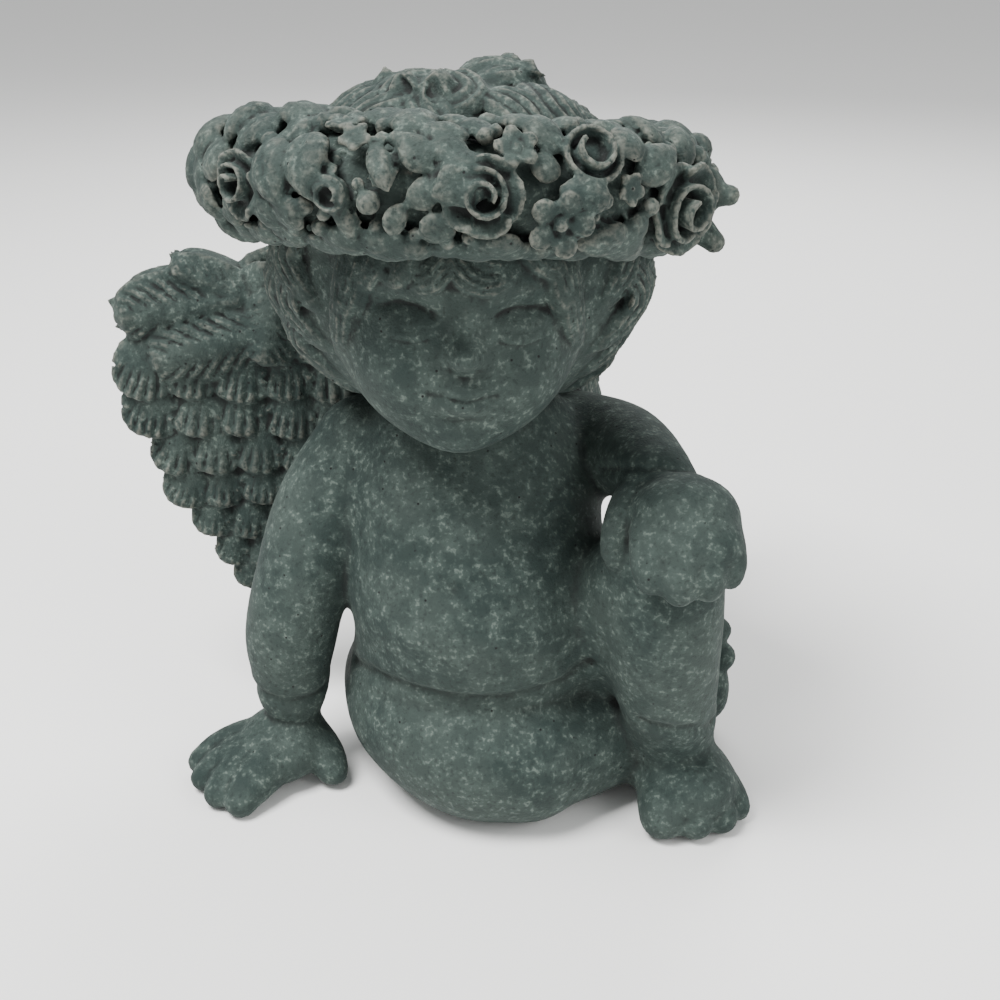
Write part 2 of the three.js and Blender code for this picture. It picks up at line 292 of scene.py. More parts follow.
def sheet(across: int, along: int) -> tuple[bpy.types.Object, np.ndarray, np.ndarray]:
    """Add a flat grid that is then bent into a petal, leaf or feather.

    Args:
        across: how many faces it has across.
        along: how many faces it has along.

    Returns:
        The object, and for each point its place across from -1 to 1 and along from 0 to 1.
    """
    bpy.ops.mesh.primitive_grid_add(x_subdivisions=across, y_subdivisions=along, size=2, location=(0, 0, 0))
    piece = bpy.context.object
    points = points_of(piece)
    return piece, points[:, 0], points[:, 1] * 0.5 + 0.5


def placing(at: np.ndarray, along: np.ndarray, out: np.ndarray, size: float | Point = 1.0) -> Matrix:
    """Return the placing of a shape whose Y runs along and whose Z points out of a surface.

    Args:
        at: where its origin goes.
        along: where its Y goes.
        out: roughly where its Z goes.
        size: its scale, or three scales.

    Returns:
        The matrix.
    """
    y = along / np.linalg.norm(along)
    x = np.cross(y, out)
    x /= np.linalg.norm(x)
    z = np.cross(x, y)
    scale = np.broadcast_to(np.asarray(size, dtype=float), 3)
    matrix = np.eye(4)
    matrix[:3, :3] = np.column_stack([x, y, z]) * scale
    matrix[:3, 3] = at
    return Matrix(matrix.tolist())


def turn_about(vector: np.ndarray, axis: np.ndarray, degrees: float) -> np.ndarray:
    """Turn a vector about an axis by degrees."""
    return np.array(Matrix.Rotation(math.radians(degrees), 3, Vector(axis)) @ Vector(vector))


def smoothstep(low: float, high: float, value: np.ndarray) -> np.ndarray:
    """Return 0 below low, 1 above high, and a smooth ramp between."""
    t = np.clip((value - low) / (high - low), 0, 1)
    return t * t * (3 - 2 * t)


@dataclass
class Chance:
    """Random numbers that come out the same on every run."""

    seed: int

    def __post_init__(self) -> None:
        """Start the numbers from the seed."""
        self.rng = np.random.default_rng(self.seed)

    def between(self, low: float, high: float) -> float:
        """Return a number between two limits."""
        return float(self.rng.uniform(low, high))

    def about(self, spread: float) -> float:
        """Return a number at most a spread away from nought."""
        return self.between(-spread, spread)


# ---------------------------------------------------------------- carving a surface
def distance_to_line(points: np.ndarray, line: list[Point]) -> np.ndarray:
    """Return each point's distance from a line of straight pieces.

    Args:
        points: the points, one in a row.
        line: the ends of its pieces.

    Returns:
        One distance for each point.
    """
    best = np.full(len(points), 1e9)
    for a, b in zip(np.array(line[:-1], float), np.array(line[1:], float)):
        way = b - a
        t = np.clip((points - a) @ way / (way @ way), 0, 1)
        best = np.minimum(best, np.linalg.norm(points - a - t[:, None] * way, axis=1))
    return best


@dataclass
class Clay:
    """A mesh that is worked with strokes, as a modeller works clay."""

    piece: bpy.types.Object

    def swell(self, at: Point, radius: float, out: float) -> None:
        """Raise the surface round a place, or press it in with a negative amount.

        Args:
            at: the middle of the place.
            radius: how far it reaches.
            out: how far it comes out.
        """
        points, normals = points_of(self.piece), normals_of(self.piece)
        near = np.exp(-((np.linalg.norm(points - np.array(at), axis=1) / radius) ** 2))
        set_points(self.piece, points + normals * (out * near)[:, None])

    def crease(self, line: list[Point], width: float, depth: float, lip: float = 0.35) -> None:
        """Press a fold along a line, with the skin swelling a little beside it.

        Args:
            line: the places it passes.
            width: half its width.
            depth: how deep it is.
            lip: the share of the depth that its sides swell.
        """
        points, normals = points_of(self.piece), normals_of(self.piece)
        away = distance_to_line(points, line) / width
        move = -depth * np.exp(-(away**2)) + depth * lip * np.exp(-((away - 2.1) ** 2))
        set_points(self.piece, points + normals * move[:, None])


# ---------------------------------------------------------------- the head's place
@dataclass(frozen=True)
class Egg:
    """An egg on whose surface things are placed."""

    at: Point
    size: Point

    def spot(self, down: float, around: float, lift: float = 0.0) -> np.ndarray:
        """Return a place on the egg.

        Args:
            down: degrees from its top.
            around: degrees from its front, towards the figure's left.
            lift: distance above its surface.

        Returns:
            The place.
        """
        d, a = math.radians(down), math.radians(around)
        out = np.array([math.sin(d) * math.sin(a), -math.sin(d) * math.cos(a), math.cos(d)])
        return np.array(self.at) + out * np.array(self.size) + out * lift


SKULL = Egg((-13, -12, 190), (43, 44, 51))
SCALP = Egg((-13, 4, 192), (59, 49, 57))
HEAD_TURN = Euler([0, math.radians(3), math.radians(4)]).to_matrix()


# ---------------------------------------------------------------- body
@dataclass
class Body:
    """The seated child's body, from the seat to the neck, with its limbs."""

    voxel: float = 1.0
    soften: int = 60
    firm: int = 7
    lean: float = 14.0
    fine: tuple[tuple[Point, float], ...] = (
        ((-92, -22, 8), 32),
        ((55, -58, 115), 27),
        ((68, -48, 6), 24),
        ((82, 11, 30), 22),
    )
    ovals: list[tuple[float, float, float, float, float]] = field(
        default_factory=lambda: [
            (-3, 12, -12, 44, 34),
            (-3, 12, 9, 54, 44),
            (-4, 7, 36, 52, 46),
            (-6, -6, 60, 46, 46),
            (-7, -10, 78, 46, 45),
            (-8, -6, 98, 44, 40),
            (-9, 0, 118, 44, 35),
            (-10, 4, 134, 37, 28),
            (-11, 5, 152, 25, 22),
            (-12, 4, 166, 22, 22),
        ]
    )
    right_arm: list[Station] = field(
        default_factory=lambda: [
            (-46, 9, 121, 20),
            (-60, -1, 103, 19),
            (-69, -8, 80, 17.5),
            (-75, -10, 56, 17),
            (-76, -8, 32, 13),
        ]
    )
    left_arm: list[Station] = field(
        default_factory=lambda: [
            (28, 22, 118, 19),
            (40, 8, 122, 17),
            (46, -10, 125, 15.5),
            (51, -28, 126, 13),
        ]
    )

    def trunk(self) -> bpy.types.Object:
        """Shape the trunk from a sphere, through level ovals.

        Returns:
            The new mesh object.
        """
        piece = egg((0, 0, 0), (1, 1, 1), rings=48)
        points = points_of(piece)
        share = np.arccos(np.clip(-points[:, 2], -1, 1)) / math.pi
        ovals = np.array(self.ovals)
        height = np.interp(share, [0, 1], [ovals[0, 2], ovals[-1, 2]])
        x, y, wide, deep = (np.interp(height, ovals[:, 2], ovals[:, k]) for k in (0, 1, 3, 4))
        level = np.hypot(points[:, 0], points[:, 1])
        around = np.arctan2(points[:, 1], points[:, 0])
        full = np.sqrt(np.clip(1 - (2 * share - 1) ** 8, 0, 1)) * (level > 1e-6)
        turn = math.radians(self.lean)
        a, b = np.cos(around) * wide * full, np.sin(around) * deep * full
        x = x + a * math.cos(turn) - b * math.sin(turn)
        y = y + a * math.sin(turn) + b * math.cos(turn)
        set_points(piece, np.column_stack([x, y, height]))
        return piece

    def fingers(self, lines: list[list[Station]]) -> list[bpy.types.Object]:
        """Add fingers or toes as tubes with round tips."""
        tips = [egg(line[-1][:3], (line[-1][3],) * 3, rings=8) for line in lines]
        return [tubes(lines, sides=4, smooth=6), *tips]

    def right_hand(self) -> list[bpy.types.Object]:
        """The hand that is spread on the ground.

        Returns:
            Its masses and fingers.
        """
        return [
            egg((-80, -14, 13), (17, 18, 11), (16, 0, -25)),
            egg((-91, -20, 9), (15, 14, 8.5), (8, 0, -35)),
            *self.fingers([
                [(-88, -8, 13, 7), (-99, -8, 9.5, 6.6), (-106, -11, 7, 6.3), (-111, -15, 5, 5.2)],
                [(-88, -14, 13, 7), (-97, -18, 9.5, 6.8), (-103, -21, 7.5, 6.5), (-108, -25, 5, 5.2)],
                [(-86, -18, 13, 7), (-93, -25, 9.5, 7), (-98, -30, 7.5, 6.7), (-101, -34.5, 5, 5.6)],
                [(-80, -20, 13, 8), (-85, -28, 10, 8.4), (-89, -34, 8, 7.8), (-92, -39.5, 5.5, 6.2)],
                [(-74, -8, 15, 9), (-67, -14, 11, 8.6), (-63, -19, 8.5, 7.8), (-60.5, -23, 6, 6.4)],
            ]),
        ]

    def left_hand(self) -> list[bpy.types.Object]:
        """The hand that hangs over the raised knee.

        Returns:
            Its masses and fingers.
        """
        return [
            egg((58, -47, 121), (18, 19, 14), (-18, 0, 4)),
            egg((58.5, -60, 118), (16.5, 11, 11.5), (-30, 0, 0)),
            *self.fingers([
                [(46, -54, 121, 6.4), (45.5, -62, 117, 6.4), (45.5, -66, 112.5, 6), (46, -67, 109.5, 5.2)],
                [
                    (54.5, -56, 121, 6.6),
                    (54.5, -65, 116, 6.6),
                    (54.5, -69, 110.5, 6.2),
                    (54.5, -69.5, 107, 5.4),
                ],
                [(63, -56, 120, 6.4), (63, -64, 115, 6.3), (63.5, -67.5, 110.5, 5.9), (63.5, -68, 107.5, 5.1)],
                [(70, -52, 119, 6.0), (70.5, -59, 115, 5.9), (71, -62, 111, 5.5), (71, -62.5, 108.5, 4.8)],
                [(42, -36, 124, 6.6), (38, -44, 119.5, 6.0), (36, -48, 113.5, 5.6), (35.5, -49, 109, 5.0)],
            ]),
        ]

    def legs(self) -> list[bpy.types.Object]:
        """The folded right leg and the raised left leg.

        Returns:
            Their masses, feet and toes.
        """
        return [
            *limb([(-31, 4, 30, 28), (-26, -14, 30, 29), (-8, -32, 26, 28), (8, -34, 24, 26)]),
            *limb([(2, -32, 24, 26), (24, -26, 23, 23), (48, -10, 20, 19), (66, 8, 17, 14)]),
            egg((74, 16, 20), (13, 17, 19), (0, 0, 30)),
            *self.fingers([
                [(74, 14, 42, 7.5), (81, 12, 46, 6.6)],
                [(76, 14, 33, 6.5), (84, 11, 34.5, 5.8)],
                [(75, 13, 24, 6), (82, 10, 24.5, 5.2)],
                [(74, 13, 15, 5.4), (80, 10, 15.5, 4.8)],
            ]),
            *limb([(24, 6, 34, 26), (38, -16, 66, 25), (50, -38, 94, 21), (53, -44, 106, 17)]),
            *limb([(54, -42, 104, 19.5), (54, -44, 82, 20), (56, -40, 58, 18.5), (61, -31, 30, 15)]),
            egg((65, -34, 13), (18, 24, 14), (-8, 0, 16)),
            egg((63, -24, 12), (15, 17, 12)),
            egg((70, -40, 9.5), (17.5, 12, 9.5), (-6, 0, 18)),
            *self.fingers([
                [(57, -42, 10.5, 9.6), (56.5, -51, 8.5, 8.8)],
                [(67, -44, 9.5, 7.8), (67.5, -52.5, 7, 6.8)],
                [(75, -41, 8.5, 7.2), (77, -49, 6, 6.2)],
                [(81, -35, 8, 6.8), (84, -42, 5.5, 5.6)],
            ]),
        ]

    def build(self) -> bpy.types.Object:
        """Fuse the body's masses and soften the joints between them.

        Returns:
            The body as one mesh.
        """
        pieces = [self.trunk(), *limb(self.right_arm), *limb(self.left_arm)]
        pieces += [*self.right_hand(), *self.left_hand(), *self.legs()]
        body = join(pieces, "body")
        modify(body, "REMESH", mode="VOXEL", voxel_size=self.voxel)
        self.relax(body)
        return body

    def relax(self, body: bpy.types.Object) -> None:
        """Soften the flesh, and hands and feet less than the rest.

        Args:
            body: the fused body.
        """
        raw = points_of(body)
        mild = smoothed(body, self.firm)
        soft = smoothed(body, self.soften)
        fine = np.zeros(len(raw))
        for at, reach in self.fine:
            away = np.linalg.norm(raw - np.array(at, float), axis=1)
            fine = np.maximum(fine, 1 - smoothstep(reach * 0.75, reach, away))
        set_points(body, mild * fine[:, None] + soft * (1 - fine[:, None]))


# ---------------------------------------------------------------- head
@dataclass(frozen=True)
class Swelling:
    """A soft form of the face: where, how wide and high, and how far out."""

    x: float
    z: float
    wide: float
    high: float
    out: float


@dataclass
class Head:
    """The head with a calm, plain child's face."""

    jaw: float = 15.0
    eyes: float = 17.0
    forms: tuple[Swelling, ...] = (
        Swelling(0, -43, 12, 8, 6.0),
        Swelling(-23, -22, 14, 13, 5.5),
        Swelling(23, -22, 14, 13, 5.5),
        Swelling(0, -25, 11, 8, 3.5),
        Swelling(0, 14, 30, 12, 2.0),
        Swelling(-17, -3, 9, 6, -4.5),
        Swelling(17, -3, 9, 6, -4.5),
    )

    def front(self, x: np.ndarray, z: np.ndarray) -> np.ndarray:
        """Return how far forward the plain face is at places seen from the front.

        Args:
            x: places across.
            z: places up.

        Returns:
            Y at each place.
        """
        wide, deep, high = SKULL.size
        y = -deep * np.sqrt(np.clip(1 - (x / wide) ** 2 - (z / high) ** 2, 0, 1))
        y -= self.jaw * smoothstep(5, high, -z)
        for form in self.forms:
            across, up = (x - form.x) / form.wide, (z - form.z) / form.high
            y -= form.out * np.exp(-(across**2) - up**2)
        return y

    def details(self, x: np.ndarray, z: np.ndarray) -> np.ndarray:
        """Return how far the nose, eyelids and lips stand out at places seen from the front.

        Args:
            x: places across.
            z: places up.

        Returns:
            The distance out at each place.
        """

        def bump(x0: float, z0: float, wide: float, high: float, out: float) -> np.ndarray:
            """Return a soft knob, or a hollow where out is negative."""
            return out * np.exp(-(((x - x0) / wide) ** 2) - ((z - z0) / high) ** 2)

        def stroke(line: np.ndarray, width: float, out: float, low: float, high: float) -> np.ndarray:
            """Return a ridge, or a groove where out is negative, along a line between two sides."""
            inside = smoothstep(low, low + 2.5, x) * (1 - smoothstep(high - 2.5, high, x))
            return out * inside * np.exp(-(((z - line) / width) ** 2))

        out = bump(0, -3, 4.6, 9, 2.6) + bump(0, -11.5, 5.2, 4.4, 6.0) + bump(0, -13, 8, 3.4, 2.4)
        out += bump(-4, -15.8, 1.6, 1.1, -1.0) + bump(4, -15.8, 1.6, 1.1, -1.0)
        out += bump(0, -18.8, 2.2, 3, -0.8)
        for side in (-1, 1):
            middle = side * self.eyes
            eye = (x - middle) / 8.5
            out += 4.4 * np.exp(-(np.abs(eye) ** 2.6) - np.abs((z + 5.5) / 4.6) ** 2.6)
            upper = -3.2 - 2.6 * eye**2 + 2.6
            out += stroke(upper + 1.6, 1.1, -1.5, middle - 9.5, middle + 9.5)
            out += stroke(-9.6 + 2.2 * eye**2, 1.1, -1.2, middle - 8.5, middle + 8.5)
            out += stroke(-6.4 + 1.3 * eye**2, 0.9, -0.9, middle - 8, middle + 8)
            out += stroke(7.5 - 3.2 * eye**2, 2.2, 0.9, middle - 11, middle + 11)
        bow = 0.9 * np.cos(x / 1.9) * np.exp(-((x / 4.5) ** 2))
        out += bump(0, -22.6, 7.2, 2.0, 2.6) + bump(0, -27.2, 5.8, 2.3, 2.8)
        out += stroke(-24.7 + 0.022 * x**2 - bow * 0.5, 1.1, -1.4, -9.5, 9.5)
        out += bump(-9.8, -24.0, 1.8, 1.8, -1.6) + bump(9.8, -24.0, 1.8, 1.8, -1.6)
        out += bump(0, -31.5, 6, 1.8, -1.2)
        return out

    def build(self) -> bpy.types.Object:
        """Shape the head from a sphere and carve the face.

        Returns:
            The head as one mesh.
        """
        bpy.ops.mesh.primitive_uv_sphere_add(
            segments=256, ring_count=160, radius=1, rotation=(math.pi / 2, 0, 0)
        )
        piece = bpy.context.object
        bpy.ops.object.transform_apply(location=True, rotation=True, scale=True)
        piece.name = "head"
        points = points_of(piece) * np.array(SKULL.size)
        x, y, z = points.T.copy()
        front = smoothstep(-6, 24, -y)
        y = y + (self.front(x, z) - y) * front
        y = y - self.details(x, z) * smoothstep(8, 26, -points[:, 1])
        turned = np.column_stack([x, y, z]) @ np.array(HEAD_TURN).T + np.array(SKULL.at)
        set_points(piece, turned)
        return piece


# ---------------------------------------------------------------- hair
Way = tuple[tuple[float, float], ...]


@dataclass(frozen=True)
class CrownRow:
    """A ring of locks round the crown: degrees down, how many, half width, and length in degrees."""

    down: float
    count: int
    width: float
    length: float


@dataclass(frozen=True)
class SideRow:
    """A row of locks round the back and sides that leaves the face free up to start."""

    down: float
    start: float
    count: int
    width: float
    length: float


@dataclass
class Hair:
    """Curled locks over the scalp, each a pointed leaf of hair with a few sharp ridges."""

    seed: int = 7
    ridges: tuple[float, ...] = (-0.95, -0.32, 0.32, 0.95)
    sharp: float = 0.13
    crown: tuple[CrownRow, ...] = (
        CrownRow(2, 6, 9.5, 34),
        CrownRow(16, 10, 10.0, 38),
        CrownRow(32, 15, 9.5, 36),
        CrownRow(48, 19, 9.0, 34),
    )
    sides: tuple[SideRow, ...] = (
        SideRow(70, 54, 18, 8.6, 32),
        SideRow(86, 56, 18, 8.4, 32),
        SideRow(102, 62, 16, 8.0, 30),
        SideRow(117, 76, 12, 7.6, 28),
    )
    bangs: tuple[tuple[float, Way], ...] = (
        (5.4, ((60, 2), (70, 0), (77, 5), (80, 14), (76, 24), (70, 30))),
        (4.6, ((60, 8), (68, 8), (73, 14), (73, 22), (68, 26))),
        (4.8, ((60, 28), (70, 30), (77, 38), (77, 48), (71, 54))),
        (5.2, ((60, -4), (70, -2), (78, -8), (80, -14), (76, -18))),
        (4.6, ((60, -18), (70, -16), (78, -21), (79, -26), (76, -29))),
        (4.8, ((60, -32), (70, -29), (79, -34), (83, -40), (81, -45))),
        (5.4, ((60, -44), (75, -40), (90, -46), (98, -56), (98, -64))),
        (5.8, ((64, -54), (80, -47), (98, -51), (112, -62), (118, -72))),
        (5.6, ((64, 46), (76, 42), (88, 46), (95, 56), (96, 66))),
        (5.8, ((64, 56), (80, 48), (96, 51), (108, 62), (112, 72))),
    )

    @staticmethod
    def curve(knots: list[np.ndarray], samples: int) -> np.ndarray:
        """Return points along a smooth curve through some knots.

        Args:
            knots: the places it passes.
            samples: how many points it has.

        Returns:
            The points, evenly spaced between knots.
        """
        knots = np.array(knots)
        ends = np.vstack([2 * knots[0] - knots[1], knots, 2 * knots[-1] - knots[-2]])
        t = np.linspace(0, len(knots) - 1.0001, samples)
        i = t.astype(int)
        f = (t - i)[:, None]
        a, b, c, d = ends[i], ends[i + 1], ends[i + 2], ends[i + 3]
        bend, twist = 2 * a - 5 * b + 4 * c - d, 3 * b - a - 3 * c + d
        return 0.5 * (2 * b + (c - a) * f + bend * f**2 + twist * f**3)

    def lock(
        self,
        u: np.ndarray,
        v: np.ndarray,
        on: Egg,
        way: Way | list[tuple[float, float]],
        width: float,
        lift: float,
        ridge: float,
    ) -> np.ndarray:
        """Return the points of one lock.

        Args:
            u: each point's place across, from -1 to 1.
            v: each point's place along, from 0 to 1.
            on: the egg that it lies on.
            way: its way over the egg, as degrees down and around.
            width: its half width.
            lift: how high its middle lies.
            ridge: how high its ridges stand.

        Returns:
            The points.
        """
        samples = 41
        line = self.curve([on.spot(d, a) for d, a in way], samples)
        step = np.gradient(line, axis=0)
        out = (line - np.array(on.at)) / np.array(on.size) ** 2
        out /= np.linalg.norm(out, axis=1)[:, None]
        side = np.cross(step, out)
        side /= np.linalg.norm(side, axis=1)[:, None]
        row = np.clip((v * (samples - 1)).round().astype(int), 0, samples - 1)
        full = np.sin(math.pi * np.clip(v, 0.001, 0.999) ** 0.75) ** 0.7
        height = lift * full + 2.8 * (full * (1 - u**2)) ** 0.8 - 1.8
        for place in self.ridges:
            height = height + ridge * full * np.exp(-(((u - place * 0.72) / self.sharp) ** 2))
        return line[row] + side[row] * (u * width * full)[:, None] + out[row] * height[:, None]

    def build(self) -> bpy.types.Object:
        """Build the scalp and all its locks.

        Returns:
            The hair as one mesh.
        """
        chance = Chance(self.seed)
        jig = chance.about
        steps = (0, 0.25, 0.5, 0.75, 1.0)
        template, u, v = sheet(26, 22)
        clouds = []
        for number, row in enumerate(self.crown):
            for i in range(row.count):
                a = 360 * (i + 0.5 * (number % 2)) / row.count + jig(7)
                spin = (1 if chance.rng.random() < 0.75 else -1) * (30 + jig(12))
                way = []
                for t in steps:
                    d = row.down + row.length * t * (1 - 0.15 * t) + 4
                    narrow = max(0.35, math.sin(math.radians(max(d, 12))))
                    way.append((d, a + spin * math.sin(math.pi * t * 0.8) / narrow * 0.62))
                clouds.append(self.lock(u, v, SCALP, way, row.width + jig(1.2), 2.0 + jig(1.4), 1.9))
        for number, row in enumerate(self.sides):
            for i in range(row.count):
                a = row.start + (360 - 2 * row.start) * i / (row.count - 1) + jig(3)
                bend = (1 if (i + number) % 2 else -1) * (10 + jig(3))
                if a < 115 or a > 245:
                    bend = (1 if a < 180 else -1) * (12 + jig(2))
                way = [(row.down + row.length * t, a + bend * math.sin(math.pi * 1.2 * t)) for t in steps]
                clouds.append(self.lock(u, v, SCALP, way, row.width, 1.6 + jig(1.3), 2.1))
        for width, way in self.bangs:
            clouds.append(self.lock(u, v, SKULL, way, width, 2.6, 1.9))
        locks = merged(template, clouds)
        modify(locks, "SOLIDIFY", thickness=4.0, offset=-1)
        return join([egg(SCALP.at, tuple(s - 1.0 for s in SCALP.size), rings=40), locks], "hair")


# ---------------------------------------------------------------- wreath
class Bloom(Enum):
    """What is set on the wreath."""

    ROSE = "open rose"
    CUP = "rolled rose"
    FLOWER = "small flower"
    LEAF = "pointed leaf"
    PETAL = "round petal"
    BERRY = "berry"


@dataclass(frozen=True)
class Setting:
    """One thing set on the wreath.

    Its place is in degrees from the front and up from the rim, its heading in degrees from the way
    along, and ahead says how far it is turned to face forwards.
    """

    kind: Bloom
    around: float
    over: float
    size: float
    heading: float = 0.0
    lift: float = 0.0
    lean: float = 0.0
    ahead: float = 0.0
    wide: float = 1.0


@dataclass
class Wreath:
    """The wide wreath: a ring closely set with roses, small flowers, leaves and berries."""

    at: Point = (-13, -5, 218)
    ring: float = 62.0
    across: float = 15.0
    high: float = 15.5
    tip: float = 10.0
    lean: float = 2.0
    seed: int = 21
    skirt: int = 64
    buds: tuple[tuple[float, float, float, float], ...] = ((80, -4, 7, 4.4), (74, -38, 9, 4.6))
    placed: tuple[Setting, ...] = (
        Setting(Bloom.ROSE, 57, -16, 13.5, 200, 0.0, 0, 0.35),
        Setting(Bloom.ROSE, 6, -6, 11.0, 60, 0.0, 0, 0.3),
        Setting(Bloom.ROSE, -49, -6, 10.0, 120, 0.5),
        Setting(Bloom.CUP, 29, 36, 9.4, 210, 0.5, 0, 0.5),
        Setting(Bloom.CUP, -24, -10, 5.6, 40, 2.0, 0, 0.4),
        Setting(Bloom.FLOWER, 21.6, -27, 9.8, 20, 2.5, 0, 0.5),
        Setting(Bloom.FLOWER, 12.4, 36, 6.6, 50, 2.5, 0, 0.4),
        Setting(Bloom.FLOWER, -20, 42, 5.0, 10, 2.2, 0, 0.3),
        Setting(Bloom.FLOWER, -25, 68, 6.2, 30, 1.0),
        Setting(Bloom.LEAF, -2, 54, 14.0, 178, 0.8, 0.1),
        Setting(Bloom.LEAF, -1, 34, 11.5, 186, 1.4, 0.1, 0, 1.5),
        Setting(Bloom.LEAF, 2, 8, 17.0, 205, 1.5, 0.15, 0, 1.6),
        Setting(Bloom.LEAF, -14, 18, 14.0, -62, 1.0, 0.25),
        Setting(Bloom.LEAF, -22, -34, 12.0, -70, 0.5, 0.3),
        Setting(Bloom.PETAL, -11, -30, 9.0, -120, 0.5, 0.2),
        Setting(Bloom.PETAL, 26, -2, 14.0, -8, 1.5, 0.2, 0, 0.8),
        Setting(Bloom.LEAF, -30, 20, 18.0, -75, 1.0, 0.2, 0, 1.7),
        Setting(Bloom.LEAF, -38, 10, 19.0, -60, 1.5, 0.2, 0, 1.5),
        Setting(Bloom.PETAL, -58, 60, 16.0, 10, 1.0, 0.25, 0, 1.2),
        Setting(Bloom.PETAL, -70, 40, 15.0, -80, 1.5, 0.1, 0, 1.3),
        Setting(Bloom.PETAL, -78, 10, 15.0, -70, 1.5, 0.1, 0, 1.3),
        Setting(Bloom.LEAF, 43, -40, 12.0, -100, 0.5, 0.3, 0, 1.4),
        Setting(Bloom.LEAF, 52, 70, 15.0, 120, 1.0, 0.3, 0, 1.5),
        Setting(Bloom.LEAF, 62, 48, 14.0, 60, 1.0, 0.3, 0, 1.5),
        Setting(Bloom.LEAF, 46, 26, 17.0, 20, 1.0, 0.25, 0, 1.3),
        Setting(Bloom.BERRY, 82, 46, 5.2, 0, 0.5),
        Setting(Bloom.ROSE, 100, 6, 12.5, 30, 0.0),
        Setting(Bloom.ROSE, 146, 8, 12.5, 90, 0.0),
        Setting(Bloom.ROSE, -161, 10, 12.5, 150, 0.0),
        Setting(Bloom.ROSE, -112, 4, 12.5, 250, 0.0),
        Setting(Bloom.CUP, 122, 44, 8.5, 0, 0.5),
        Setting(Bloom.CUP, -137, 42, 8.5, 70, 0.5),
        Setting(Bloom.CUP, 172, 40, 8.0, 20, 0.5),
        Setting(Bloom.CUP, -90, 44, 7.5, 20, 0.5),
    )

    def turn(self) -> np.ndarray:
        """Return the wreath's tilt as a matrix."""
        return np.array(Euler([math.radians(-self.tip), math.radians(self.lean), 0]).to_matrix())

    def place(
        self, around: float, over: float, lift: float = 0.0
    ) -> tuple[np.ndarray, np.ndarray, np.ndarray]:
        """Return a place on the wreath, the way out of it, and the way along it.

        Args:
            around: degrees from its front, towards the figure's left.
            over: degrees up from its rim.
            lift: distance above its surface.

        Returns:
            The place, the way out and the way along.
        """
        turn = self.turn()
        a, o = math.radians(around), math.radians(over)
        rim = np.array([math.sin(a), -math.cos(a), 0.0])
        spot = rim * (self.ring + (self.across + lift) * math.cos(o))
        spot[2] = (self.high + lift) * math.sin(o)
        out = rim * math.cos(o) + np.array([0, 0, math.sin(o)])
        along = np.array([math.cos(a), math.sin(a), 0.0])
        return turn @ spot + np.array(self.at), turn @ out, turn @ along

    @staticmethod
    def spiral(
        turns: float, inner: float, outer: float, low: float, high: float, wall: float, wave: float
    ) -> bpy.types.Object:
        """Model a petal rolled into a spiral.

        Args:
            turns: how many times it goes round.
            inner: its radius at the heart.
            outer: its radius at the end.
            low: the height of its rim at the end.
            high: the height of its rim at the heart.
            wall: its thickness.
            wave: how much its rim waves.

        Returns:
            The new mesh object.
        """
        piece, u, v = sheet(6, int(46 * turns))
        angle = v * turns * 2 * math.pi
        up = u * 0.5 + 0.5
        radius = inner + (outer - inner) * v + (0.10 * up**2 - 0.05) * (0.4 + v)
        radius = radius * (1 + wave * np.sin(angle * 2.3 + 1) * up * v)
        rim = high + (low - high) * v**1.2 + wave * 1.4 * np.sin(angle * 1.7) * v
        height = -0.35 + (rim + 0.35) * up
        set_points(piece, np.column_stack([np.cos(angle) * radius, np.sin(angle) * radius, height]))
        modify(piece, "SOLIDIFY", thickness=wall, offset=0)
        return piece

    def rose(self) -> bpy.types.Object:
        """Model an open rose one unit in radius that faces +Z: a rolled heart and ruffled petals.

        Returns:
            The new mesh object.
        """
        petals = [self.spiral(1.55, 0.21, 0.63, 0.34, 0.66, 0.12, 0.05)]
        for k in range(5):
            piece, u, v = sheet(14, 8)
            start = math.radians(72 * k + 20)
            angle = start + u * math.radians(47)
            reach = 1.02 - 0.16 * np.abs(u) ** 3
            radius = (0.5 + (reach - 0.5) * v**0.9) * (1 + 0.05 * u)
            cup = 0.30 + 0.07 * math.sin(k * 2.1)
            ruffle = 0.10 * u + 0.06 * np.sin(u * 5 + k) * v
            height = -0.16 + cup * v**1.5 + ruffle - 0.08 * smoothstep(0.8, 1.0, v)
            set_points(piece, np.column_stack([np.cos(angle) * radius, np.sin(angle) * radius, height]))
            modify(piece, "SOLIDIFY", thickness=0.13, offset=-1)
            petals.append(piece)
        back = egg((0, 0, -0.32), (0.82, 0.82, 0.34), rings=12)
        return join([*petals, back], "rose")

    def cup(self) -> bpy.types.Object:
        """Model a rolled rose one unit in radius that faces +Z.

        Returns:
            The new mesh object.
        """
        roll = self.spiral(1.7, 0.36, 0.95, 0.16, 0.62, 0.165, 0.03)
        back = egg((0, 0, -0.34), (0.92, 0.92, 0.36), rings=12)
        return join([roll, back], "rolled_rose")

    def flower(self) -> bpy.types.Object:
        """Model a flower of five round petals with raised rims, one unit in radius, that faces +Z.

        Returns:
            The new mesh object.
        """
        petals = []
        for k in range(5):
            bpy.ops.mesh.primitive_uv_sphere_add(segments=28, ring_count=18, radius=1)
            piece = bpy.context.object
            points = points_of(piece)
            level = np.hypot(points[:, 0], points[:, 1])
            points[:, 2] *= 0.17 * (1 + 0.35 * np.exp(-(((level - 0.84) / 0.16) ** 2)))
            points[:, :2] *= 0.355
            a = math.radians(k * 72)
            turned = points @ np.array(Euler([0, -0.12, a]).to_matrix()).T
            set_points(piece, turned + np.array([0.63 * math.cos(a), 0.63 * math.sin(a), 0.12]))
            petals.append(piece)
        heart = egg((0, 0, 0.18), (0.2, 0.2, 0.2), rings=8)
        return join([*petals, heart, egg((0, 0, -0.14), (0.62, 0.62, 0.22), rings=10)], "flower")

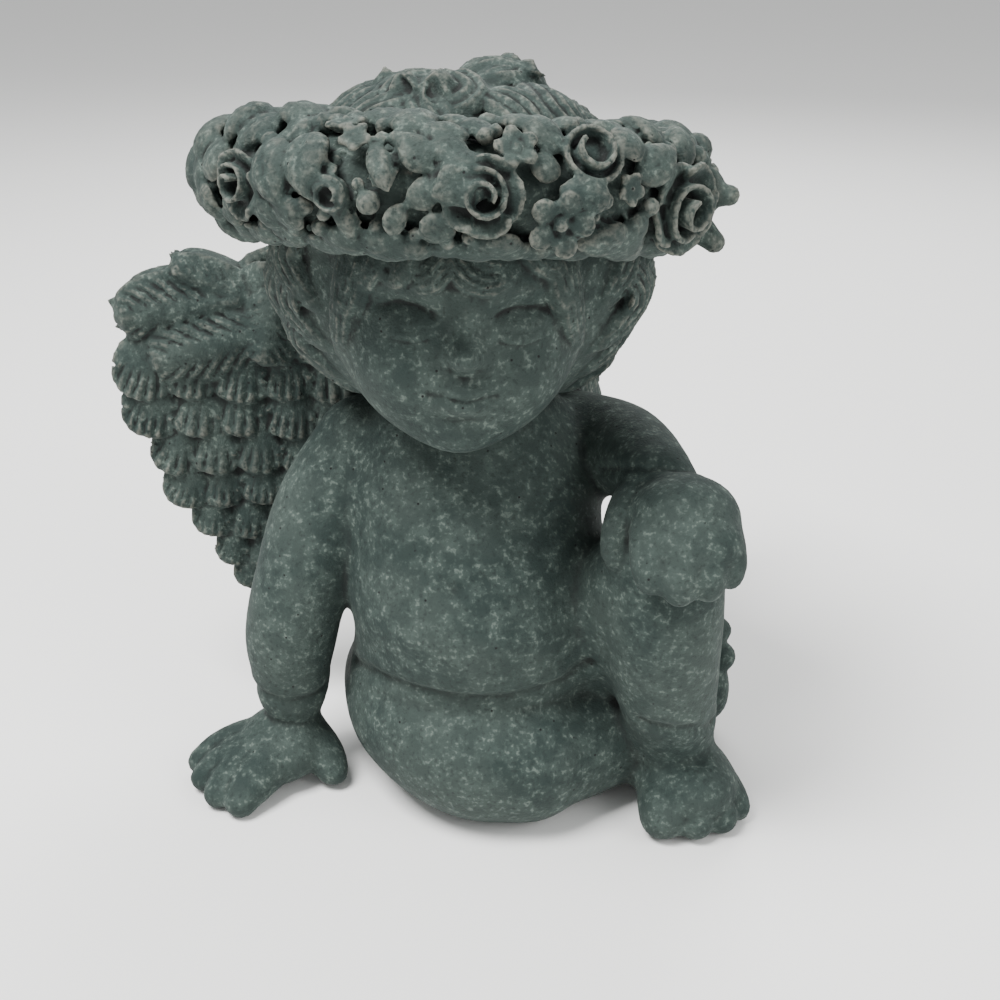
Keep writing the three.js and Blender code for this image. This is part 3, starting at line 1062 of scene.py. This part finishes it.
    def leaf(self, blunt: float) -> bpy.types.Object:
        """Model a leaf or petal one unit long that points along +Y, domed across, with a groove down its
        middle.

        Args:
            blunt: how round its end is, from 0 for a point to 1.

        Returns:
            The new mesh object.
        """
        piece, u, v = sheet(18, 20)
        point = np.sin(math.pi * np.clip(v, 0.001, 0.999) ** (0.8 + 0.3 * blunt)) ** (0.85 - 0.35 * blunt)
        half = (0.24 + 0.14 * blunt) * point
        dome = (0.20 + 0.06 * blunt) * np.sqrt(np.clip(1 - u**2, 0, 1)) * point**0.6
        bow = 0.05 * np.sin(v * 2.6)
        groove = 0.05 * np.exp(-((u / 0.13) ** 2)) * (1.1 - blunt * 0.7)
        veins = 0.016 * np.sin((v - 0.4 * np.abs(u)) * 34) * (1 - blunt)
        fan = 0.02 * np.cos(u * 11) * blunt * smoothstep(0.3, 0.9, v)
        set_points(piece, np.column_stack([u * half, v, dome + bow + (veins - groove - fan) * point]))
        modify(piece, "SOLIDIFY", thickness=0.42, offset=-1)
        piece.name = "leaf"
        return piece

    def template(self, kind: Bloom) -> bpy.types.Object:
        """Model one thing of a kind.

        Args:
            kind: which kind.

        Returns:
            The new mesh object.
        """
        makers = {
            Bloom.ROSE: self.rose,
            Bloom.CUP: self.cup,
            Bloom.FLOWER: self.flower,
            Bloom.LEAF: partial(self.leaf, 0.0),
            Bloom.PETAL: partial(self.leaf, 1.0),
            Bloom.BERRY: partial(egg, (0, 0, 0), (1, 1, 1), rings=8),
        }
        return makers[kind]()

    def matrix(self, item: Setting) -> Matrix:
        """Return the placing of one thing.

        Args:
            item: the thing.

        Returns:
            The matrix.
        """
        at, out, along = self.place(item.around, item.over, item.lift)
        out = out + np.array([0.0, -0.9, 0.42]) * item.ahead
        out /= np.linalg.norm(out)
        way = turn_about(along - out * (along @ out), out, item.heading)
        return placing(at, way + out * item.lean, out, (item.size * item.wide, item.size, item.size))

    def wrapped(self, points: np.ndarray, item: Setting) -> np.ndarray:
        """Return a leaf's or petal's points laid over the ring's own round surface.

        Args:
            points: the template's points.
            item: the leaf or petal.

        Returns:
            The points in place.
        """
        heading = math.radians(item.heading)
        side, ahead = points[:, 0] * item.size * item.wide, (points[:, 1] - 0.5) * item.size
        along = ahead * math.cos(heading) + side * math.sin(heading)
        up = ahead * math.sin(heading) - side * math.cos(heading)
        o = math.radians(item.over) + up / self.across
        level = self.ring + self.across * math.cos(math.radians(item.over))
        a = math.radians(item.around) + along / level
        lift = item.lift + points[:, 2] * item.size + item.lean * ahead
        far = self.ring + (self.across + lift) * np.cos(o)
        up = (self.high + lift) * np.sin(o)
        spot = np.column_stack([np.sin(a) * far, -np.cos(a) * far, up])
        return spot @ self.turn().T + np.array(self.at)

    def filling(self) -> list[Setting]:
        """Return the small things that are packed into the gaps between the larger ones.

        Returns:
            The things, with their places.
        """
        pick = Chance(self.seed).between
        thin = (Bloom.LEAF, Bloom.PETAL)
        spots = [self.place(item.around, item.over)[0] for item in self.placed]
        rooms = [item.size * (0.36 if item.kind in thin else 0.92) for item in self.placed]
        items: list[Setting] = []
        rounds = (
            (Bloom.CUP, 5.0, 0.9, 14),
            (Bloom.FLOWER, 6.2, 0.95, 26),
            (Bloom.PETAL, 12.5, 0.40, 120),
            (Bloom.LEAF, 14.0, 0.36, 150),
            (Bloom.FLOWER, 4.6, 0.95, 40),
            (Bloom.PETAL, 9.0, 0.36, 400),
            (Bloom.LEAF, 9.5, 0.34, 500),
            (Bloom.BERRY, 3.0, 0.85, 1500),
            (Bloom.BERRY, 2.2, 0.8, 1500),
        )
        for kind, size, share, tries in rounds:
            for _ in range(tries):
                around, over, grown = pick(-180, 180), pick(-78, 128), size * pick(0.85, 1.15)
                here = self.place(around, over)[0]
                away = np.linalg.norm(np.array(spots) - here, axis=1)
                if np.any(away < np.array(rooms) + grown * share):
                    continue
                spots.append(here)
                rooms.append(grown * share)
                flat = kind in thin
                wide = {Bloom.LEAF: pick(1.2, 1.8), Bloom.PETAL: pick(1.0, 1.25)}.get(kind, 1.0)
                lift = pick(-0.6, 1.4) if flat else pick(-0.3, 1.4)
                lean = pick(0.0, 0.22) if flat else 0.0
                grown *= 1.25 if flat else 1.0
                items.append(Setting(kind, around, over, grown, pick(0, 360), lift, lean, 0, wide))
        for i in range(self.skirt):
            around, over = i * 360 / self.skirt + pick(-3, 3), pick(-86, -60)
            items.append(Setting(Bloom.PETAL, around, over, pick(11, 16), pick(-30, 30), 0, pick(0, 0.12)))
        return items

    def build(self) -> bpy.types.Object:
        """Build the ring and all that is set on it.

        Returns:
            The wreath as one mesh.
        """
        bpy.ops.mesh.primitive_torus_add(
            major_radius=self.ring, minor_radius=self.across - 3, major_segments=96, minor_segments=24
        )
        ring = bpy.context.object
        points = points_of(ring) * np.array([1, 1, self.high / self.across])
        set_points(ring, points @ self.turn().T + np.array(self.at))
        pad = egg(self.at, (self.ring, self.ring, self.high - 3), (-self.tip, self.lean, 0), rings=24)
        items = [*self.placed, *self.filling()]
        sets = []
        for kind in Bloom:
            template = self.template(kind)
            chosen = [item for item in items if item.kind is kind]
            if kind in (Bloom.LEAF, Bloom.PETAL):
                points = points_of(template)
                sets.append(merged(template, [self.wrapped(points, item) for item in chosen]))
            else:
                sets.append(copies(template, [self.matrix(item) for item in chosen]))
        stems = []
        for around, over, length, thick in self.buds:
            a, b = self.place(around, over, -2)[0], self.place(around, over, length)[0]
            stems.append([(*a, thick * 0.8), (*((a + b) / 2), thick), (*b, thick * 0.72)])
        ends = [egg(line[-1][:3], (line[-1][3] * 1.02,) * 3, rings=8) for line in stems]
        return join([ring, pad, *sets, tubes(stems, sides=4, smooth=6), *ends], "wreath")


# ---------------------------------------------------------------- wings
class Face(Enum):
    """The two faces of a wing."""

    FRONT = 1
    BACK = -1


@dataclass(frozen=True)
class Row:
    """A row of short feathers: the height of its tips, and each feather's width."""

    tips: float
    width: float


@dataclass(frozen=True)
class LongFeather:
    """A long feather: its root's share of the reach and height, heading, length, width and lift."""

    share: float
    height: float
    heading: float
    length: float
    width: float
    lift: float


@dataclass
class Wing:
    """A wing of short fan-shaped feathers in rows under a spray of long ones."""

    root: Point
    span: Point
    reach: float
    face: int
    thick: float = 8.0
    deep: float = 44.0
    camber: float = 7.0
    seed: int = 5
    edge: tuple[tuple[float, float], ...] = (
        (0.5, 44),
        (0.58, 52),
        (0.63, 64),
        (0.71, 77),
        (0.78, 88),
        (0.84, 104),
        (0.88, 118),
        (0.94, 130),
        (0.92, 146),
        (0.86, 160),
        (0.72, 172),
        (0.4, 176),
    )
    rows: tuple[Row, ...] = (
        Row(51, 12.5),
        Row(61, 13.5),
        Row(73, 14.5),
        Row(87, 16.0),
        Row(101, 17.5),
        Row(115, 18.5),
        Row(130, 19.5),
        Row(145, 20.0),
        Row(158, 20.0),
    )
    long: tuple[LongFeather, ...] = (
        LongFeather(0.40, 166, 22, 37, 17, 0.0),
        LongFeather(0.48, 168, -9, 47, 28, 1.0),
        LongFeather(0.34, 160, -17, 54, 29, 3.6),
        LongFeather(0.34, 176, -74, 33, 24, 5.0),
        LongFeather(0.12, 174, -84, 34, 24, 2.0),
    )

    def surface(self, along: float, height: float, front: float) -> np.ndarray:
        """Return where the wing's surface is.

        Args:
            along: distance along the span.
            height: height above the ground.
            front: distance in front of the middle of its thickness.

        Returns:
            The place.
        """
        span = np.array(self.span) / np.linalg.norm(self.span)
        normal = np.cross((0, 0, 1), span) * self.face
        at = np.array(self.root) + span * along + normal * (front + self.camber * (along / self.reach) ** 2)
        return np.array([at[0], at[1], height])

    def reach_at(self, height: float) -> float:
        """Return how far the wing reaches at a height."""
        shares, heights = zip(*self.edge)
        return float(np.interp(height, heights, shares)) * self.reach

    def plate(self) -> bpy.types.Object:
        """Model the wing's own thin body.

        Returns:
            The new mesh object.
        """
        piece, u, v = sheet(24, 24)
        low, high = self.edge[0][1] + 8, self.edge[-1][1] - 4
        points = []
        for a, b in zip(u * 0.5 + 0.5, v):
            height = low + (high - low) * b
            points.append(self.surface(a * (self.reach_at(height) - 9), height, 0))
        set_points(piece, np.array(points))
        modify(piece, "SOLIDIFY", thickness=self.thick - 2, offset=0)
        return piece

    @staticmethod
    def fan(grooves: int) -> bpy.types.Object:
        """Model a short feather one unit long that points along +Y, with grooves that fan out.

        Args:
            grooves: how many grooves it has.

        Returns:
            The new mesh object.
        """
        piece, u, v = sheet(44, 26)
        cuts = 0.0
        for k in np.linspace(-0.72, 0.72, grooves):
            cuts = cuts + np.exp(-(((u - k * (0.35 + 0.65 * v)) / 0.075) ** 2))
        half = 0.5 * np.sqrt(np.clip(1 - (1 - v) ** 4, 0.04, 1)) * (1 - 0.10 * smoothstep(0.75, 1.0, v))
        rim = 0.70 + 0.30 * np.clip(1 - np.abs(u) ** 2.6, 0, 1) ** 0.5
        reach = rim - 0.014 * cuts * smoothstep(0.8, 1.0, v)
        lens = smoothstep(0.35, 0.75, v) * (1 - 0.8 * smoothstep(0.90, 1.0, v))
        bow = 0.17 * (1 - u**2) + 0.06 * v
        height = bow - 0.08 * cuts * lens - 0.12 * smoothstep(0.88, 1.02, v) ** 2
        set_points(piece, np.column_stack([u * half, v * reach, height]))
        modify(piece, "SOLIDIFY", thickness=0.2, offset=-1)
        piece.name = "feather"
        return piece

    @staticmethod
    def paddle() -> bpy.types.Object:
        """Model a long feather one unit long and wide that points along +Y, with slanting grooves.

        Returns:
            The new mesh object.
        """
        piece, u, v = sheet(40, 60)
        half = 0.5 * np.sqrt(np.clip(1 - np.abs((v - 0.56) / 0.46) ** 2.4, 0.0, 1)) * (v > 0.1)
        half = np.maximum(half + 0.22 * (v <= 0.1), 0.20 * (v < 0.3))
        cuts = 0.0
        for side in (-1, 1):
            for k in range(7):
                start = 0.10 + 0.115 * k + (0.05 if side > 0 else 0)
                line = start + 0.34 * np.abs(u)
                lens = smoothstep(0.12, 0.4, u * side) * (1 - smoothstep(0.66, 0.95, u * side))
                cuts = cuts + lens * np.exp(-(((v - line) / 0.022) ** 2))
        height = 0.13 * (1 - u**2) - 0.055 * cuts - 0.10 * smoothstep(0.9, 1.0, v)
        set_points(piece, np.column_stack([u * half, v, height]))
        modify(piece, "SOLIDIFY", thickness=0.13, offset=-1)
        piece.name = "long_feather"
        return piece

    def setting(
        self,
        face: Face,
        root: tuple[float, float],
        heading: float,
        size: Point,
        lift: float,
        rise: float,
    ) -> Matrix:
        """Return the placing of a feather.

        Args:
            face: which face of the wing it is on.
            root: where its root is, along the span and above the ground.
            heading: degrees from straight out along the span, turning upwards.
            size: scales across, along and out.
            lift: height above the wing's own surface.
            rise: how steeply its tip rises from the wing.

        Returns:
            The matrix.
        """
        front = (self.thick / 2 - 1.5 + lift) * face.value
        along, height = root
        at = self.surface(along, height, front)
        a = math.radians(heading)
        way = self.surface(along + math.cos(a), height + math.sin(a), front) - at
        out = self.surface(along, height, front + face.value) - at
        return placing(at, way / np.linalg.norm(way) + out * rise, out, size)

    def build(self) -> bpy.types.Object:
        """Build the plate and all its feathers.

        Returns:
            The wing as one mesh.
        """
        chance = Chance(self.seed)
        pick = chance.between
        fans: dict[int, list[Matrix]] = {4: [], 5: []}
        paddles = []
        for face in Face:
            for number, row in enumerate(self.rows):
                far = self.reach_at(row.tips + 5) if row.tips < 140 else 0.5 * self.reach
                pitch = row.width * 0.95
                along = far - row.width * (0.42 if number % 2 else 0.55)
                while along > -4:
                    share = along / self.reach
                    heading = -88 + 26 * share**2 + pick(-7, 7)
                    length = row.width * 1.25
                    a = math.radians(heading)
                    height = row.tips + pick(-1.5, 1.5) - length * math.sin(a)
                    root = (along - length * math.cos(a), height)
                    size = (row.width * pick(1.14, 1.28), length, length)
                    fan = fans[int(chance.rng.integers(4, 6))]
                    fan.append(self.setting(face, root, heading, size, 0.0, 0.10 + pick(0, 0.03)))
                    along -= pitch
            for one in self.long:
                root, size = (one.share * self.reach, one.height), (one.width, one.length, self.deep)
                paddles.append(self.setting(face, root, one.heading, size, one.lift, 0.03))
        feathers = [copies(self.fan(grooves), places) for grooves, places in fans.items()]
        return join([self.plate(), *feathers, copies(self.paddle(), paddles)], "wing")


# ---------------------------------------------------------------- the casting
@dataclass
class Cells:
    """Points sorted into small cubes, so that what is near a place is found at once."""

    points: np.ndarray
    size: float

    def keys(self, points: np.ndarray) -> np.ndarray:
        """Return the number of the cube that each point is in."""
        cube = np.floor(points / self.size).astype(np.int64) + 4096
        return (cube[:, 0] * 8192 + cube[:, 1]) * 8192 + cube[:, 2]

    @staticmethod
    def steps() -> list[tuple[int, int, int]]:
        """Return the steps to a cube's neighbours, nearest first."""
        around = [(i, j, k) for i in (-1, 0, 1) for j in (-1, 0, 1) for k in (-1, 0, 1)]
        return sorted(around, key=lambda step: sum(abs(n) for n in step))

    def near(self, places: np.ndarray) -> np.ndarray:
        """Return 1 where a cube or its neighbour holds a point, else 0.

        Args:
            places: the places, one in a row.

        Returns:
            One number for each place.
        """
        filled = np.unique(self.keys(self.points))
        found = np.zeros(len(places))
        for step in self.steps():
            found[np.isin(self.keys(places + np.array(step) * self.size), filled)] = 1
        return found

    def mean(self, values: np.ndarray, places: np.ndarray) -> np.ndarray:
        """Return the mean of the values of the points in the nearest filled cube to each place.

        Args:
            values: a value for each of the points.
            places: the places, one in a row.

        Returns:
            One mean for each place.
        """
        filled, index = np.unique(self.keys(self.points), return_inverse=True)
        means = np.bincount(index, values) / np.bincount(index)
        result = np.full(len(places), np.nan)
        for step in self.steps():
            wanted = np.isnan(result)
            keys = self.keys(places[wanted] + np.array(step) * self.size)
            slot = np.clip(np.searchsorted(filled, keys), 0, len(filled) - 1)
            result[wanted] = np.where(filled[slot] == keys, means[slot], np.nan)
        return np.nan_to_num(result)


@dataclass
class Casting:
    """The whole figure as one cast piece."""

    voxel: float = 0.75
    most_triangles: int = 196_000

    def build(self) -> bpy.types.Object:
        """Fuse the body, head, hair, wreath and wings into one closed skin.

        Returns:
            The figure as one mesh in the solid's frame.
        """
        body = Body().build()
        log.info("body: %d points", len(body.data.vertices))
        self.fold(Clay(body))
        head = Head().build()
        log.info("head: %d points", len(head.data.vertices))
        hair = Hair().build()
        log.info("hair: %d points", len(hair.data.vertices))
        wreath = Wreath().build()
        log.info("wreath: %d points", len(wreath.data.vertices))
        right = Wing(root=(-36, 34, 0), span=(-1, 0.1, 0), reach=115, face=1)
        left = Wing(root=(20, 34, 0), span=(0.14, 1, 0), reach=96, face=-1, seed=9)
        wings = [right.build(), left.build()]
        feathers = np.vstack([points_of(wing) for wing in wings])
        log.info("wings: %d points", len(feathers))
        carved = {"wreath": points_of(wreath), "hair": points_of(hair), "wing": feathers}
        whole = join([body, head, hair, wreath, *wings], "putto")
        modify(whole, "REMESH", mode="VOXEL", voxel_size=self.voxel)
        log.info("fused: %d points", len(whole.data.vertices))
        set_points(whole, smoothed(whole, 1))
        points = points_of(whole)
        points[:, 2] = np.maximum(points[:, 2], 0)
        set_points(whole, points)
        marks = self.marks(whole, carved)
        cells = Cells(points, 1.1)
        modify(whole, "TRIANGULATE")
        modify(whole, "DECIMATE", ratio=min(1.0, self.most_triangles / len(whole.data.polygons)))
        log.info("thinned: %d triangles", len(whole.data.polygons))
        thinned = points_of(whole)
        for name, values in marks.items():
            self.store(whole, name, cells.mean(values, thinned))
        set_points(whole, (points_of(whole) + TO_CENTRE) * MM)
        only(whole)
        bpy.ops.object.shade_smooth()
        return whole

    def fold(self, clay: Clay) -> None:
        """Work the folds of a plump child's flesh into the body.

        Args:
            clay: the body.
        """
        breast = [(-14.5, -47.2, 95), (-9.7, -47, 96), (-4.8, -46, 97.6), (1.6, -43.4, 100.3)]
        armpit = [(6.5, -40.3, 103), (11.4, -36.9, 105.3), (16.4, -31.8, 108.9), (20.5, -26.8, 112)]
        clay.crease([*breast, *armpit], 3.2, 0.8, 0.5)
        clay.swell((-12, -40, 108), 15, 1.6)
        clay.crease([(-17.4, -36, 117), (-17.2, -42.8, 103.6), (-15.5, -46.5, 96.4)], 5.0, 0.6, 0.1)
        hip = [(-52.2, -12.8, 47.4), (-43.2, -31, 53.8), (-33.9, -40.5, 55.4), (-23.5, -46.3, 55.6)]
        lap = [(-10, -49.1, 55), (1.7, -48.4, 54.6), (11.7, -46.3, 56), (22, -41, 56.9)]
        clay.crease([*hip, *lap, (30.3, -40.2, 63.5)], 2.4, 1.4)
        clay.crease([(-92, -8, 38), (-82.4, -20.5, 36.7), (-71.6, -21.2, 35.9), (-60, -12, 36)], 2.0, 1.2)
        wrist = [(33.3, -18.1, 124.5), (40, -32, 131), (46, -37, 133.4), (58, -38.5, 134), (66, -32, 130)]
        clay.crease(wrist, 1.6, 1.0)
        ankle = [(46.7, -52.5, 48.6), (53.1, -54.8, 47.4), (63.4, -53.2, 45.9), (73.6, -40.5, 39.6)]
        clay.crease(ankle, 2.2, 1.4)

    def marks(self, whole: bpy.types.Object, carved: dict[str, np.ndarray]) -> dict[str, np.ndarray]:
        """Return how deep or high each point lies, and which part it belongs to.

        Args:
            whole: the fused figure.
            carved: the points of each carved part, by its name.

        Returns:
            Numbers at the points, by name.
        """
        points, normals = points_of(whole), normals_of(whole)
        marks = {}
        # relief and hollow feed the material: painted shade and dirt in what is sunk, and wear on what stands
        # out.
        for name, rounds in (("relief", 8), ("hollow", 50)):
            marks[name] = np.einsum("ij,ij->i", points - smoothed(whole, rounds), normals)
        for name, source in carved.items():
            marks[name] = Cells(source, 3.0).near(points)
        return marks

    @staticmethod
    def store(whole: bpy.types.Object, name: str, values: np.ndarray) -> None:
        """Store a number at each point under a name."""
        layer = whole.data.attributes.new(name, "FLOAT", "POINT")
        layer.data.foreach_set("value", values.astype(np.float32))


# ---------------------------------------------------------------- finish
def linear(code: str) -> tuple[float, float, float, float]:
    """Turn an sRGB hex colour into linear red, green, blue and alpha."""
    parts = [int(code[i : i + 2], 16) / 255 for i in (1, 3, 5)]
    return (*[c / 12.92 if c <= 0.04045 else ((c + 0.055) / 1.055) ** 2.4 for c in parts], 1.0)


def add_node(
    tree: bpy.types.NodeTree, kind: str, settings: dict | None = None, **links: object
) -> bpy.types.Node:
    """Add a node with its settings and links.

    Args:
        tree: the material's node tree.
        kind: the node's type.
        settings: its properties.
        links: a socket or a value for each input, by name with _ for a space, or by i and its number.

    Returns:
        The new node.
    """
    node = tree.nodes.new(kind)
    for key, value in (settings or {}).items():
        setattr(node, key, value)
    for key, value in links.items():
        numbered = key[0] == "i" and key[1:].isdigit()
        socket = node.inputs[int(key[1:]) if numbered else key.replace("_", " ")]
        if isinstance(value, bpy.types.NodeSocket):
            tree.links.new(value, socket)
        else:
            socket.default_value = value
    return node


@dataclass(frozen=True)
class CastStone:
    """Cast stone with an old matt blue-green wash.

    It was cast wet in a mould, so its skin has a fine sandy grain, pin holes and a few round
    bubble marks. The wash is cloudy and has worn off what stands out; what is sunk is painted dark, partly as
    dirt and partly as painted shade.
    """

    name: str = "matt washed cast stone"
    wash: str = "#202d2a"
    cloud: str = "#2f3a36"
    bloom: str = "#4a5751"
    # near black for dirt and painted shade in what is sunk
    dirt_and_shade: str = "#0c0f0e"
    worn: str = "#6f6f66"
    pale: str = "#6b776f"
    dark: str = "#151d1b"
    # near black painted shade inside the pin holes
    pinhole_shade: str = "#0e1211"
    roughness: float = 0.84
    specular: float = 0.35

    def mix(self, tree: bpy.types.NodeTree, share: object, a: object, b: object) -> object:
        """Mix two colours and return the result's socket."""
        return add_node(tree, "ShaderNodeMix", {"data_type": "RGBA"}, i0=share, i6=a, i7=b).outputs[2]

    def ramp(
        self, tree: bpy.types.NodeTree, value: object, low: float, high: float, top: float = 1.0
    ) -> object:
        """Turn a value into a smooth share from 0 to top and return its socket.

        Args:
            tree: the material's node tree.
            value: the value.
            low: the value that gives 0.
            high: the value that gives top.
            top: the greatest share.

        Returns:
            The result's socket.
        """
        settings = {"interpolation_type": "SMOOTHSTEP"}
        ends = {"From_Min": low, "From_Max": high, "To_Max": top}
        return add_node(tree, "ShaderNodeMapRange", settings, Value=value, **ends).outputs[0]

    def maths(self, tree: bpy.types.NodeTree, kind: str, a: object, b: object) -> object:
        """Combine two numbers and return the result's socket."""
        return add_node(tree, "ShaderNodeMath", {"operation": kind}, i0=a, i1=b).outputs[0]

    def noise(self, tree: bpy.types.NodeTree, place: object, size: float, detail: float = 3.0) -> object:
        """Add noise whose features are a size in millimetres across and return its socket."""
        node = add_node(tree, "ShaderNodeTexNoise", Vector=place, Scale=1 / (size * MM), Detail=detail)
        return node.outputs["Fac"]

    def mark(self, tree: bpy.types.NodeTree, name: str) -> object:
        """Read a number that is stored at the mesh's points and return its socket."""
        return add_node(tree, "ShaderNodeAttribute", {"attribute_name": name}).outputs["Fac"]

    def build(self) -> bpy.types.Material:
        """Build the material.

        Returns:
            The material.
        """
        material = bpy.data.materials.new(self.name)
        material.use_nodes = True
        tree = material.node_tree
        tree.nodes.clear()
        place = add_node(tree, "ShaderNodeTexCoord").outputs["Object"]
        relief, hollow = self.mark(tree, "relief"), self.mark(tree, "hollow")
        carved = self.maths(tree, "MAXIMUM", self.mark(tree, "wreath"), self.mark(tree, "hair"))
        carved = self.maths(tree, "MAXIMUM", carved, self.mark(tree, "wing"))
        clouds = self.ramp(tree, self.noise(tree, place, 28, 4), 0.35, 0.65)
        mottle = self.noise(tree, place, 5, 5)
        specks = self.noise(tree, place, 1.5, 3)
        grain = self.noise(tree, place, 0.7, 2)
        colour = self.mix(tree, clouds, linear(self.wash), linear(self.cloud))
        colour = self.mix(tree, self.ramp(tree, mottle, 0.38, 0.75, 0.45), colour, linear(self.bloom))
        light = self.ramp(tree, specks, 0.52, 0.70, 0.55)
        light = self.maths(tree, "MULTIPLY", light, self.ramp(tree, mottle, 0.35, 0.65))
        colour = self.mix(tree, light, colour, linear(self.pale))
        dark = self.ramp(tree, specks, 0.44, 0.30, 0.45)
        colour = self.mix(tree, dark, colour, linear(self.dark))
        # Painted shade and dirt: fine sunk lines (relief) go towards near black as dirt and shade, and broad
        # hollows (hollow) as painted shade.
        sunk = self.ramp(tree, relief, 0.0, -0.26, 0.95)
        deep = self.ramp(tree, hollow, -0.25, -1.6, 0.9)
        colour = self.mix(tree, self.maths(tree, "MAXIMUM", sunk, deep), colour, linear(self.dirt_and_shade))
        raised = self.ramp(tree, relief, 0.04, 0.38)
        rub = self.maths(tree, "MULTIPLY", raised, self.ramp(tree, specks, 0.30, 0.62))
        rub = self.maths(tree, "MULTIPLY", rub, self.ramp(tree, carved, 0.0, 1.0, 0.75))
        colour = self.mix(tree, rub, colour, linear(self.worn))
        # Pin holes: pressed in by the bump and painted near black, as painted shade inside them.
        pits = add_node(tree, "ShaderNodeTexVoronoi", Vector=place, Scale=1 / (6 * MM))
        pit = self.ramp(tree, pits.outputs["Distance"], 0.085, 0.05)
        colour = self.mix(tree, pit, colour, linear(self.pinhole_shade))
        height = self.maths(tree, "MULTIPLY_ADD", specks, 0.5)
        height = self.maths(tree, "SUBTRACT", self.maths(tree, "ADD", height, grain), pit)
        bump = add_node(tree, "ShaderNodeBump", Height=height, Strength=0.55, Distance=0.0005)
        surface = {"Base_Color": colour, "Roughness": self.roughness, "Specular_IOR_Level": self.specular}
        shader = add_node(tree, "ShaderNodeBsdfPrincipled", Normal=bump.outputs[0], **surface)
        add_node(tree, "ShaderNodeOutputMaterial", Surface=shader.outputs[0])
        return material


# ---------------------------------------------------------------- studio
@dataclass(frozen=True)
class Lamp:
    """A square soft lamp: where it is and how wide, in metres, and its watts."""

    at: Point
    size: float
    watts: float


@dataclass
class Studio:
    """The pale floor, the soft lights and the camera."""

    floor_size: float = 30.0
    floor_colour: str = "#f4f4f2"
    lamps: tuple[Lamp, ...] = (
        Lamp((-0.45, -0.35, 1.25), 0.55, 34),
        Lamp((0.9, -0.6, 0.7), 0.7, 7),
        Lamp((0.2, 0.9, 0.9), 0.7, 10),
    )
    lit: Point = (0, 0, 0.12)
    sky_colour: str = "#f6f7f8"
    sky: float = 0.7
    looks_at: Point = (0, 0, 105)
    distance: float = 480.0
    down: float = 25.0
    lens: float = 49.284

    def floor(self) -> None:
        """Lay a plain pale floor."""
        deselect()
        bpy.ops.mesh.primitive_plane_add(size=self.floor_size, location=(0, 0, 0))
        floor = bpy.context.object
        floor.name = "floor"
        material = bpy.data.materials.new("pale floor")
        material.use_nodes = True
        shader = material.node_tree.nodes["Principled BSDF"]
        shader.inputs["Base Color"].default_value = linear(self.floor_colour)
        shader.inputs["Roughness"].default_value = 0.9
        floor.data.materials.append(material)

    def light(self, lamp: Lamp) -> None:
        """Add a soft lamp that shines on the middle of the figure.

        Args:
            lamp: the lamp.
        """
        bpy.ops.object.light_add(type="AREA", location=lamp.at)
        light = bpy.context.object
        light.data.size = lamp.size
        light.data.energy = lamp.watts
        way = Vector(self.lit) - Vector(lamp.at)
        light.rotation_euler = way.to_track_quat("-Z", "Y").to_euler()

    def world(self) -> None:
        """Fill the surroundings with an even pale sky."""
        world = bpy.data.worlds.new("studio")
        world.use_nodes = True
        background = world.node_tree.nodes["Background"]
        background.inputs["Color"].default_value = linear(self.sky_colour)
        background.inputs["Strength"].default_value = self.sky
        bpy.context.scene.world = world

    def camera(self) -> None:
        """Look down on the figure from its front."""
        target = np.array(self.looks_at) + TO_CENTRE
        down = math.radians(self.down)
        at = target + self.distance * np.array([0, -math.cos(down), math.sin(down)])
        bpy.ops.object.camera_add(location=at * MM)
        camera = bpy.context.object
        camera.rotation_euler = Vector((target - at).tolist()).to_track_quat("-Z", "Y").to_euler()
        camera.data.sensor_width = 36
        camera.data.lens = self.lens
        camera.data.clip_start = 0.01
        bpy.context.scene.camera = camera

    def build(self) -> None:
        """Set up the floor, lights, sky and camera."""
        self.floor()
        for lamp in self.lamps:
            self.light(lamp)
        self.world()
        self.camera()


def main() -> None:
    """Build the statue and its surroundings."""
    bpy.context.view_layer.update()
    Studio().build()
    log.info("studio: ready")
    putto = Casting().build()
    putto.data.materials.clear()
    putto.data.materials.append(CastStone().build())
    log.info("putto: %d triangles of %s", len(putto.data.polygons), CastStone().name)
    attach(putto, "root")
    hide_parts(NODE)


if __name__ == "__main__":
    main()
